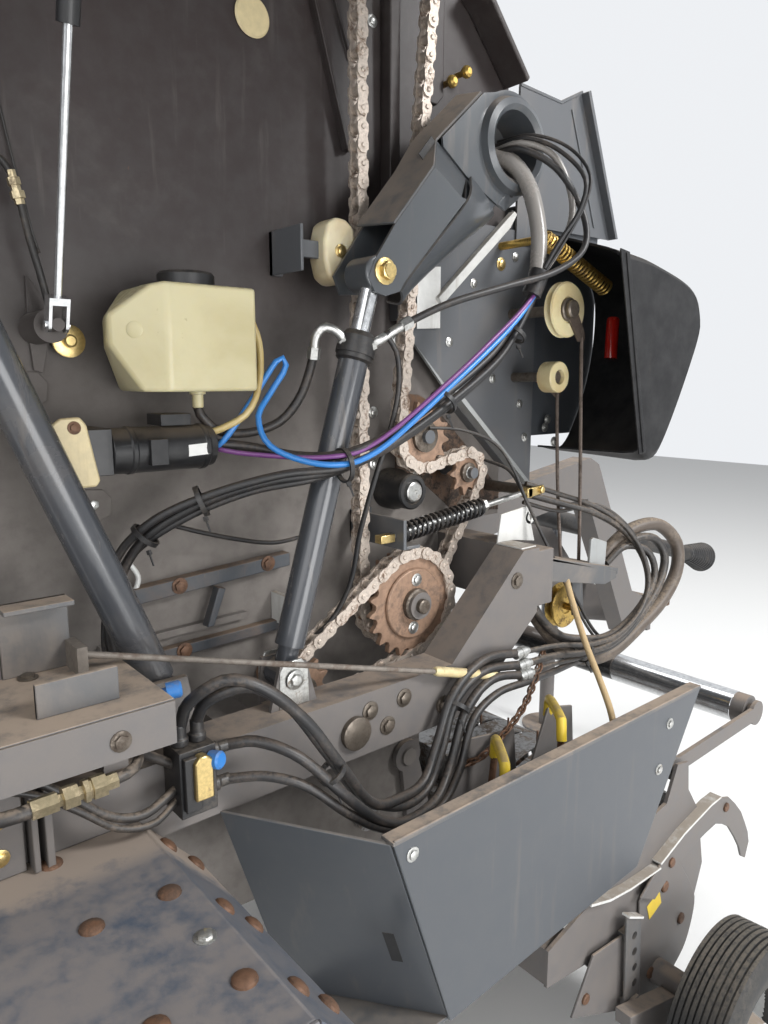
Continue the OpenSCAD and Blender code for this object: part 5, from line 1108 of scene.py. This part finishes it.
def treadShape():
    # sloped lugs in two rows, each lying on the tread's crown
    count, slope, share = wheelSpec["lugs"], wheelSpec["lugSlope"], wheelSpec["lugShare"]
    crown = [(-178, 399), (-150, 431), (-95, 435.5), (-12, 436.5)]
    shapes = []
    for side in (-1, 1):
        grid = []
        for across, top in crown:
            lead = slope * (across + 178) / 166 * 2 * math.pi / count
            wide = share * 2 * math.pi / count
            base = np.interp(abs(across), [0, 90, 140, 160, 176], [423, 421, 417, 410, 398]) - 3
            corner = [(lead - wide, base), (lead - 0.8 * wide, top), (lead + 0.8 * wide, top),
                (lead + wide, base)]
            grid.append([(r * math.sin(a), side * across, r * math.cos(a)) for a, r in corner])
        shapes.append(closedGrid(np.array(grid)))
    lug = join(*shapes)
    turn = 2 * np.pi * np.arange(count) / count
    axes = np.zeros((count, 3, 3))
    axes[:, 0, 0] = axes[:, 2, 2] = np.cos(turn)
    axes[:, 0, 2], axes[:, 2, 0], axes[:, 1, 1] = -np.sin(turn), np.sin(turn), 1
    return repeatShape(lug, np.tile([0.0, wheelSpec["centre"], wheelSpec["height"]], (count, 1)), axes)


def wheelPoint(reach, angle, y):
    # a place on a wheel, by its distance and angle from the wheel's middle
    return (reach * math.cos(angle), y, wheelSpec["height"] + reach * math.sin(angle))


rimProfile = [(-95, 36), (-95, 70), (-30, 72), (-12, 148), (-40, 186), (-172, 188), (-180, 200), (-186, 217),
    (-178, 219), (-168, 198), (168, 198), (178, 219), (186, 217), (180, 200), (172, 188), (-20, 187),
    (4, 150), (-16, 80), (58, 78), (70, 62), (70, 36)]
# the pickup's gauge wheels: nine ribs round a small tyre, the last one narrower
gaugeCentre = (1690, 1240, 210)
gaugeProfile = [(-44, 96), (-58, 112), (-64, 128), (-67, 160), (-64, 184), (-56, 197)]
for d in range(-52, 52, 13):
    drop = abs(d) * 0.06
    gaugeProfile += [(d - 4.2, 208.5 - drop), (d + 4.2, 208.5 - drop), (d + 5.2, 203 - drop),
        (d + 7.8, 203 - drop)]
gaugeProfile += [(47.8, 205), (55, 204), (64, 184), (67, 160), (64, 128), (58, 112), (44, 96)]
centre = (0, wheelSpec["centre"], wheelSpec["height"])
boltPlaces = [wheelPoint(112, k * math.pi / 3, 1093) for k in range(6)]
for sideName, side in (("Right", -1), ("Left", 1)):
    low = sideName.lower()
    makePiece("tyre" + sideName, "tyre", join(
        turnedRing(tyreProfile, centre, 96), treadShape(),
        *[turnedRing([(d - 2, r), (d, r + 3), (d + 2 * s, r), (d, r - 3)], centre, 72) for s in (-1, 1)
            for d, r in ((s * 199.5, 288), (s * 199.5, 322))]), body="wheel_" + low, sides=(side,),
        replaces=("tyre_" + low,), sharp=40)
    makePiece("rim" + sideName, "rim", turnedRing(rimProfile, centre, 80), body="wheel_" + low, sides=(side,),
        replaces=("rim_" + low,), sharp=35)
    makePiece("wheelBolts" + sideName, "zincGrey", join(
        bolts(boltPlaces, 12),
        turned([(0, 34.5), (6, 52), (22, 54), (30, 48), (34, 30), (34, 0.5)], (0, 1168, wheelSpec["height"]),
            36),
        turned([(0, 4), (26, 4), (26, 2.5)], wheelPoint(176, 0.6, 1070), 10)), body="wheel_" + low,
        sides=(side,))
    makePiece("gaugeTyre" + sideName, "tyre", turnedRing(gaugeProfile, gaugeCentre, 64), body="gauge_" + low,
        sides=(side,), replaces=("gauge_wheel_" + low,), sharp=40)
    makePiece("gaugeRim" + sideName, "rim", turnedRing([(-60, 13.4), (-60, 30), (-40, 40), (-14, 44),
        (-8, 92), (-40, 97), (-44, 101), (-42, 104), (42, 104), (44, 101), (40, 97), (-4, 94), (-8, 46),
        (12, 40), (60, 30), (60, 13.4)], gaugeCentre, 56), body="gauge_" + low, sides=(side,),
        replaces=("gauge_wheel_" + low,), sharp=35)
print("wheels made")

# Pickup sides: rounded shield, bent arm with a bright edge, slotted strap and lower plate
pickSide = smoothLine([(1761, 0, 470), (1837, 0, 369), (1861, 0, 307), (1833, 0, 218), (1785, 0, 176),
    (1718, 0, 143), (1624, 0, 168)], 28)[:, [0, 2]].tolist()
bendArm = [(1575, 465), (1653, 514), (1756, 549), (1880, 574), (1930, 577), (1975, 562), (2013, 531),
    (2055, 490), (2084, 448), (2108, 410), (2120, 376), (2105, 332), (2078, 349), (2060, 385), (2031, 423),
    (1987, 473), (1950, 496), (1914, 511), (1859, 506), (1788, 494), (1707, 471), (1637, 432)]
makePiece("pickupShields", "frame", join(
    plate(pickSide + [(1593, 439), (1633, 480)], 1046, 1051), plate(bendArm, 1058, 1064),
    plate([(1405, 410), (1336, 297), (1535, 198), (1515, 400)], 1054, 1060)), body="pickup", sides=bothSides,
    bevel=1.5)
makePiece("pickupFlanges", "palePlate", join(
    plate([(1653, 514), (1756, 549), (1880, 574), (1930, 577), (1929, 582), (1878, 580), (1753, 555),
        (1650, 520)], 1036, 1066),
    plate([(1377, 542), (1448, 520), (1528, 509), (1653, 504), (1653, 509), (1529, 515), (1450, 526),
        (1379, 548)], 1040, 1066),
    plate([(1501, 462), (1560, 432), (1562, 437), (1503, 467)], 1062, 1082)), body="pickup", sides=bothSides,
    bevel=1)
makePiece("pickupStraps", "frameDusty", join(
    plate([(1501, 462), (1560, 432), (1577, 197), (1514, 217)], 1070, 1076),
    block((1520, 1043, 380), (1550, 1070, 400)), block((1530, 1043, 230), (1560, 1070, 250))), body="pickup",
    sides=bothSides, bevel=1.5)
# black discs stand for the dark inside of the strap's slots: painted shade
makePiece("strapSlotsPaintedShade", "black",
    join(*[turned([(0, 9), (1, 9)], (1536 + k * 4, 1075.6, 400 - k * 42), 12) for k in range(5)]),
    body="pickup", sides=bothSides)
makePiece("pickupRust", "rust", join(
    *[turned([(0, r), (4, r), (6, r - 3), (6, 0.5)], (x, y, z), 14)
        for x, y, z, r in ((1700, 1051, 430, 14), (1790, 1051, 300, 14), (1660, 1051, 220, 14),
            (1960, 1064, 540, 12), (1700, 1064, 500, 12), (1380, 1060, 320, 12))]), body="pickup",
    sides=bothSides)
makePiece("pickupBadge", "yellowGrip",
    plate([(1640, 372), (1690, 392), (1676, 432), (1626, 412)], 1051.2, 1052.2), body="pickup")
makePiece("gaugeArms", "frame", join(
    plate([(1466, 264), (1765, 169), (1775, 124), (1690, 118), (1542, 187), (1470, 226)], 1080, 1120),
    turned([(0, 34), (24, 34), (28, 30), (28, 0.5)], (1690, 1150, 210), 28),
    turned([(0, 15), (14, 15), (17, 12), (17, 0.5)], (1690, 1301, 210), 20),
    block((1520, 1050, 196), (1560, 1084, 240))), body="pickup", sides=bothSides, bevel=3)
print("pickup sides made")

# Drive shaft: ribbed guard cones at both ends, tubes with end rings, and the yoke's clamp
shaftFrom, shaftWay = np.array([1690.0, 0.0, 1320.0]), np.array([0.96280, 0.0, -0.27026])
coneProfile = [(14, 33), (70, 33)]
for k in range(9):
    r = 71 - 2.4 * k
    coneProfile += [(70 + 17.5 * k, r - 7), (72 + 17.5 * k, r), (80 + 17.5 * k, r), (82 + 17.5 * k, r - 7)]
coneProfile += [(232, 40), (1196, 40), (1198, 44), (1212, 44), (1214, 36), (2078, 36)]
for k in range(10):
    r = 44 + 3.4 * k
    coneProfile += [(2080 + 17 * k, r - 7), (2084 + 17 * k, r), (2091 + 17 * k, r), (2095 + 17 * k, r - 7)]
coneProfile += [(2252, 66), (2252, 30), (2308, 30), (2308, 18), (2262, 18)]
makePiece("shaftGuard", "black", turned(coneProfile + [(2262, 0.5)], shaftFrom, 44, shaftWay), body="pto",
    replaces=("pto_shaft",), sharp=34)
makePiece("shaftYoke", "greasySteel", join(
    turnedRing([(2253, 29), (2300, 29), (2304, 32), (2309, 30), (2309, 18), (2253, 18)], shaftFrom, 32,
        shaftWay),
    turned([(-36, 9), (36, 9)], shaftFrom + shaftWay * 2290, 16)), body="pto")

# Jack, drawbar and towing eye: crank, collars, bolts and the eye's rounding
makePiece("jackCrank", "black", join(
    tube([(2900, 222, 1106), (2900, 222, 1134), (2912, 222, 1144), (2980, 222, 1150), (3030, 222, 1152)], 9,
        12),
    tube([(3030, 222, 1140), (3030, 222, 1232)], 9, 12),
    turned([(0, 16), (4, 18), (74, 18), (80, 15), (80, 0.5)], (3030, 222, 1150), 20, (0, 0, 1))),
    sides=leftSide)
makePiece("jackCollars", "frame", join(
    turnedRing([(0, 44), (18, 44), (18, 39.5), (0, 39.5)], (2900, 222, 384), 36, (0, 0, 1)),
    turnedRing([(0, 43), (20, 43), (20, 39), (0, 39)], (2900, 222, 1080), 36, (0, 0, 1))), sides=leftSide,
    bevel=1)
makePiece("drawbarBolts", "greasySteel", join(
    bolts([(3215, y, z) for y in (-75, 75) for z in (520, 620)], 14, (1, 0, 0)),
    bolts([(3260, 45, z) for z in (540, 590)], 14)))
makePiece("eyeRounding", "rust", turnedRing(
    [(-15, 46), (-12, 53), (0, 56), (12, 53), (15, 46), (15, 27), (12, 25.4), (-12, 25.4), (-15, 27)],
    (3450, 0, 560), 56, (0, 0, 1)))
makePiece("crossBeamCaps", "frame", block((1352, 780, 1146), (1434, 799.6, 1274)), sides=bothSides, bevel=2)
print("shaft and drawbar dressed")

# Tailgate and closed cover: pressed ribs, bolts, lamp rims and the cover's handle
gateRib = [[(-560, 1250), (-520, 1250), (-500, 1900), (-540, 1900)],
    [(-250, 900), (-210, 900), (-190, 2300), (-230, 2300)], [(60, 760), (100, 760), (110, 2440), (70, 2440)]]
makePiece("gateRibs", "sheet", join(*[plate(rib, 620.2, 634) for rib in gateRib]), body="tailgate",
    sides=bothSides, bevel=4, segments=3)
makePiece("gateBolts", "zincGrey", join(
    bolts([(250, 620, z) for z in range(760, 2400, 230)], 9),
    bolts([(140, 645, 2372), (200, 645, 2400), (330, 645, 2440)], 11)), body="tailgate", sides=bothSides)
lampOutline = [(-1053, 1396), (-1004, 1396), (-1004, 1504), (-1053, 1504)]
makePiece("lampRims", "black", join(
    plate(lampOutline, 434, 440), plate(lampOutline, 560, 566),
    *[block((-1052.5, 440 + 30 * k, 1402), (-1050, 444 + 30 * k, 1498)) for k in range(1, 4)]),
    body="tailgate", sides=bothSides, bevel=1)
coverSet = {"open": 57.0, "hinge": (650.0, 2610.0), "ribs": (420, 620, 1080, 1280)}
coverBow = tube([(820, 976, 1560), (820, 1004, 1564), (820, 1008, 1600), (820, 1008, 1700), (820, 1004, 1736),
    (820, 976, 1740)], 9, 12)
coverRibs = join(
    *[plate([(x, 1420), (x + 26, 1420), (x + 26, 2220), (x, 2220)], 974, 983) for x in coverSet["ribs"]])
makePiece("coverHandle", "black", join(
    coverBow, turned([(0, 16), (5, 16), (6, 13)], (820, 975, 1560), 16),
    turned([(0, 16), (5, 16), (6, 13)], (820, 975, 1740), 16)), body="cover_left", sides=leftSide)
makePiece("coverRibs", "guard", coverRibs, body="cover_left", sides=leftSide, bevel=5, segments=3)
print("tailgate and covers dressed")

# Small things that the photo shows on the side sheet and the frame rail
makePiece("strutWasher", "zincYellow", turned(
    [(0, 11), (20, 11), (20.5, 25), (24, 25), (25, 23), (25, 10), (32, 10), (34, 7), (34, 0.5)],
    (541, sheetFace, 1677), 28), sides=bothSides)
makePiece("sheetPads", "sheet", join(
    *[plate([(x - 30, z + 16), (x - 16, z + 26), (x + 16, z + 24), (x + 30, z + 8), (x + 26, z - 20),
        (x, z - 30), (x - 40, z - 26)], sheetFace, 624.3) for x, z in ((482, 1606), (569, 1417))]),
    sides=bothSides, bevel=1)
makePiece("sheetBrace", "sheet", join(
    plate([(950, 2500), (992, 2500), (1055, 2303), (1091, 2211), (1098, 2051), (1085, 2051), (1013, 2291)],
        sheetFace, 634),
    plate([(948, 2500), (954, 2500), (1016, 2291), (1088, 2051), (1082, 2051), (1010, 2291)], 634, 642),
    plate([(992, 2500), (998, 2500), (1061, 2303), (1097, 2211), (1091, 2211), (1055, 2303)], 634, 642)),
    sides=bothSides, bevel=1)
makePiece("bentClip", "palePlate", tube(smoothLine(
    [(617, 622, 1318), (619, 632, 1312), (631, 635, 1288), (624, 635, 1266), (612, 622, 1256)], 16), 4.5, 10),
    sides=bothSides, sharp=60)
makePiece("greasyPlate", "greasyRust", plate([(1222, 1590), (1288, 1586), (1330, 1566), (1470, 1440),
    (1560, 1352), (1560, 1300), (1400, 1316), (1300, 1392), (1222, 1420)], sheetFace, 622), sides=bothSides)
makePiece("brassStuds", "zincGold", join(
    *[turned([(0, 6), (24, 6), (24, 11), (30, 13), (36, 11), (40, 6), (40, 0.5)], (x, sheetFace, z), 16)
        for x, z in ((1350, 2228), (1392, 2256))]), sides=bothSides)
makePiece("sheetFitting", "brassFit", turned(
    [(0, 6), (10, 6), (10, 9), (20, 9), (20, 7), (28, 7), (28, 10), (38, 10), (38, 7), (46, 7)],
    (472, 662, 1908), 6, (0.2, 0.05, -1)))
makePiece("sheetHose", "hoseDusty", join(
    hose([(481, 664, 1868), (489, 666, 1818), (499, 668, 1772), (508, 664, 1734), (522, 646, 1700),
        (541, 628, 1674)], 5.5, 8),
    hose([(473, 661, 1904), (462, 657, 1922), (440, 648, 1934), (410, 634, 1936), (392, 622, 1930)], 5.5, 8),
    hose([(466, 622, 2040), (474, 626, 2001), (484, 629, 1937), (503, 629, 1839), (514, 622, 1806)], 2, 10,
        6)), sides=bothSides, sharp=60)
makePiece("sheetBar", "sheet", plate(
    [(490, 1772), (500, 1762), (513, 1738), (521, 1694), (505, 1629), (492, 1633), (488, 1690)], sheetFace,
    628), sides=bothSides, bevel=1)
print("sheet's small things made")

# Elbow fittings at the ram's head, and the black ties that hold the bundles
elbowLines = [[(903, 777, 1664), (902, 784, 1690), (914, 794, 1706), (934, 803, 1698), (948, 808, 1680)],
    [(984, 828, 1676), (998, 840, 1686), (1018, 848, 1700), (1044, 854, 1714)]]
makePiece("ramElbows", "zincGrey", join(
    *[tube(smoothLine(line, 12), 8, 12) for line in elbowLines],
    *[turned([(-10, 11.5), (10, 11.5)], line[0], 6, np.subtract(line[1], line[0])) for line in elbowLines],
    *[turned([(-10, 11.5), (10, 11.5)], line[-1], 6, np.subtract(line[-1], line[-2]))
        for line in elbowLines]), sharp=50)
tieSet = [((690, 764, 1428), (0.8, 0.42, 0.36), 26), ((612, 722, 1376), (0.55, 0.35, 0.75), 25),
    ((905, 856, 1478), (0.9, 0.1, 0.1), 30), ((1122, 870, 1580), (0.75, 0, 0.65), 27),
    ((1304, 876, 1706), (0.6, 0.1, 0.75), 25), ((1550, 896, 1014), (1, 0.1, -0.1), 30),
    ((1130, 908, 1004), (0.6, -0.1, 0.75), 27), ((780, 984, 1024), (0.55, 0.1, -0.8), 24)]
makePiece("hoseTies", "black", join(
    *[join(
        turnedRing([(-4, r), (-4, r - 3.5), (4, r - 3.5), (4, r)], place, 20, way),
        turned([(0, 4.5), (7, 4.5), (7, 2), (26, 1.6)], np.array(place) + (0, 0.4 * r, -0.9 * r), 6,
            (0.1, 0.5, -1))) for place, way, r in tieSet]))
makePiece("railLines", "hoseDusty", join(
    hose([(240, 884, 1168), (300, 900, 1152), (365, 912, 1132), (410, 922, 1096), (458, 930, 1052),
        (505, 930, 1036), (560, 912, 1046)], 6.5),
    hose([(240, 884, 1150), (300, 906, 1136), (370, 920, 1112), (420, 930, 1074), (466, 936, 1034),
        (516, 934, 1020), (560, 914, 1030)], 5)), sharp=60)
makePiece("hoseJoints", "zincGrey", join(
    *[turned([(-20, 9.6), (-18, 11.5), (-4, 11.5), (-4, 12.6), (10, 12.6), (10, 9), (22, 8)], place, 14,
        (1, 0, 0)) for place in ((1330, 905, 1035.5), (1329, 898, 1060), (1329, 912, 1016))]))
makePiece("railFlange", "frame", join(
    block((296, railFace, 1002), (360, 902, 1112)), block((366, railFace, 1002), (374, 916, 1116)),
    block((382, railFace, 996), (392, 916, 1110))), bevel=1.5)
makePiece("railFlangeBolts", "zincYellow", bolts([(330, 902, 1082), (330, 902, 1032)], 9))
makePiece("windGuardSkin", "glossBlack", join(
    turned([(0, 41.5), (2, 42.6), (1158, 42.6), (1160, 41.5)], (2200, -580, 710), 56),
    turned([(0, 41.5), (2, 42.6), (22, 42.6), (24, 41.5)], (2200, -988, 710), 56)), body="wind_guard")
# bright chrome bands near both ends of the tube, where a highlight falls, while the middle stays black: a
# painted highlight
makePiece("windGuardPaintedHighlight", "rod",
    join(*[turned([(0, 41.5), (1.5, 43), (380, 43), (382, 41.5)], (2200, y, 710), 56) for y in (582, -964)]),
    body="wind_guard")
print("ties, lines and the wind guard's tube made")

# Tailgate: bearing housings over its rollers, ribs pressed into its back and rivets along the edges
gateSet = {
    "rollers": [(-450, 2330), (-900, 1446), (-350, 620), (222, 620)],
    "ribAcross": (-420, -140, 140, 420),
    "rivetStep": 165,
    "backFaces": [((-575, 2313), (-972, 1536)), ((-950, 1328), (-480, 632)), ((150, 2503), (-420, 2440))],
    "middle": (80.0, 1520.0),
    "ribWide": 74.0,
    "ribHigh": 11.0,
}


def pressedRib(start, end, y):
    # a flat-topped rib along a line in x and z, raised along its outward normal and run out at both ends
    (x, z), wide, high = gateSet["middle"], gateSet["ribWide"], gateSet["ribHigh"]
    start, end = np.array([start[0], y, start[1]], float), np.array([end[0], y, end[1]], float)
    along = (end - start) / np.linalg.norm(end - start)
    outward = np.array([along[2], 0.0, -along[0]])
    outward *= np.sign(outward @ (start - np.array([x, y, z])))
    gone = np.array([0.0, 0.035, 0.965, 1.0])[:, None, None] * (end - start)
    lift = np.array([0.25, high, high, 0.25])[:, None, None]
    across = np.array([-0.5, -0.32, 0.32, 0.5])[None, :, None] * wide * np.array([0.0, 1.0, 0.0])
    raised = np.array([0.0, 1.0, 1.0, 0.0])[None, :, None] * lift * outward
    return closedGrid(start + gone + across + raised + outward * 0.2)


makePiece("gateBackRibs", "guard", join(
    *[pressedRib(start, end, y) for start, end in gateSet["backFaces"][:2] for y in gateSet["ribAcross"]]),
    body="tailgate", sides=leftSide, bevel=4, segments=3)
rivet = turned([(0, 9), (2.5, 8.5), (5, 6), (6, 3), (6, 0.5)], (0, 0, 0), 10, (0, 0, 1))
rivetPlaces, rivetAxes = [], []
for start, end in gateSet["backFaces"]:
    line = np.array([end[0] - start[0], 0.0, end[1] - start[1]])
    count = int(np.linalg.norm(line) / gateSet["rivetStep"]) + 1
    away = np.array([line[2], 0.0, -line[0]]) / np.linalg.norm(line)
    x, z = gateSet["middle"]
    away *= np.sign(away @ np.array([start[0] - x, 0.0, start[1] - z]))
    gone = np.linspace(0.02, 0.98, count)[:, None] * line
    places = np.array([start[0], 586.0, start[1]]) + gone + away * 0.2
    rivetPlaces.append(places)
    rivetAxes.append(
        np.repeat(np.stack([np.cross((0.0, 1.0, 0.0), away), (0.0, 1.0, 0.0), away])[None], count, 0))
makePiece("gateRivets", "zincGrey",
    repeatShape(rivet, np.concatenate(rivetPlaces), np.concatenate(rivetAxes)), body="tailgate",
    sides=bothSides)
makePiece("gateHousings", "frame", join(
    *[turned([(0, 62), (6, 62), (9, 59), (9, 44), (20, 42), (27, 36), (27, 24), (22, 22), (22, 0.5)],
        (x, sheetFace, z), 32) for x, z in gateSet["rollers"]]), body="tailgate", sides=bothSides)
makePiece("gateHousingBolts", "zincGrey", join(
    *[bolt((x + 51 * math.cos(a), 629.3, z + 51 * math.sin(a)), 7) for x, z in gateSet["rollers"]
        for a in (0.8, 2.37, 3.94, 5.51)]), body="tailgate", sides=bothSides)


def coverTurned(shape):
    # turns a shape up about the right cover's hinge line, as the cover stands open
    points, faces = shape
    angle, (hingeY, hingeZ) = math.radians(coverSet["open"]), coverSet["hinge"]
    c, s = math.cos(angle), math.sin(angle)
    y, z = points[:, 1] - hingeY, points[:, 2] - hingeZ
    return np.column_stack([points[:, 0], hingeY + y * c - z * s, hingeZ + y * s + z * c]), faces


makePiece("openCoverRibs", "guard", coverTurned(coverRibs), body="cover_right", bevel=5, segments=3)
makePiece("openCoverHandle", "black", coverTurned(coverBow), body="cover_right")
print("tailgate's back and the open cover dressed")


# Studio: a pale floor, a pale surround and five soft lamps, each (place, power, size), turned to the middle
studioSet = {
    "middle": (-2.5, 0.0, 0.6), "floorHalf": 14.0, "floorDrop": 0.001,
    "lamps": {"key": ((0.6, -6.4, 5.2), 560.0, 2.0), "fill": ((-7.0, -4.6, 3.2), 150.0, 4.5),
              "low": ((-2.5, -6.0, 0.3), 190.0, 3.0), "back": ((-4.0, 6.5, 5.0), 240.0, 4.5),
              "over": ((-2.0, 0.5, 7.0), 230.0, 5.0)},
}


def studio():
    middle, half = np.array(studioSet["middle"]), studioSet["floorHalf"]
    floorMesh = bpy.data.meshes.new("floor")
    corners = [(x * half + middle[0], y * half, ground - studioSet["floorDrop"])
               for x, y in ((-1, -1), (1, -1), (1, 1), (-1, 1))]
    floorMesh.from_pydata(corners, [], [(0, 1, 2, 3)])
    floor = bpy.data.objects.new("floor", floorMesh)
    bpy.context.scene.collection.objects.link(floor)
    made, _, shader = newMaterial("floorPale")
    shader.inputs["Base Color"].default_value = (0.78, 0.78, 0.77, 1.0)
    shader.inputs["Roughness"].default_value = 0.9
    floorMesh.materials.append(made)
    for name, (place, power, across) in studioSet["lamps"].items():
        data = bpy.data.lights.new(name, "AREA")
        data.energy = power
        data.size = across
        lamp = bpy.data.objects.new(name, data)
        bpy.context.scene.collection.objects.link(lamp)
        lamp.location = place
        away = np.array(place) - middle
        tilt, heading = math.acos(away[2] / np.linalg.norm(away)), math.atan2(away[1], away[0])
        lamp.rotation_euler = (tilt, 0.0, heading + math.pi / 2)
    world = bpy.data.worlds.new("pale")
    bpy.context.scene.world = world
    world.use_nodes = True
    tree = world.node_tree
    back = tree.nodes["Background"]
    path = put(tree, "ShaderNodeLightPath")
    seen = mathOn(tree, "MAXIMUM", path.outputs["Is Camera Ray"], path.outputs["Is Glossy Ray"])
    seen = mathOn(tree, "MAXIMUM", seen, path.outputs["Is Transmission Ray"])
    tree.links.new(ramp(tree, seen, 0.0, 1.0, 0.45, 0.92), back.inputs["Strength"])
    back.inputs["Color"].default_value = (0.93, 0.95, 0.98, 1.0)


studio()
print("studio set")
bpy.context.scene.view_settings.view_transform = "Standard"
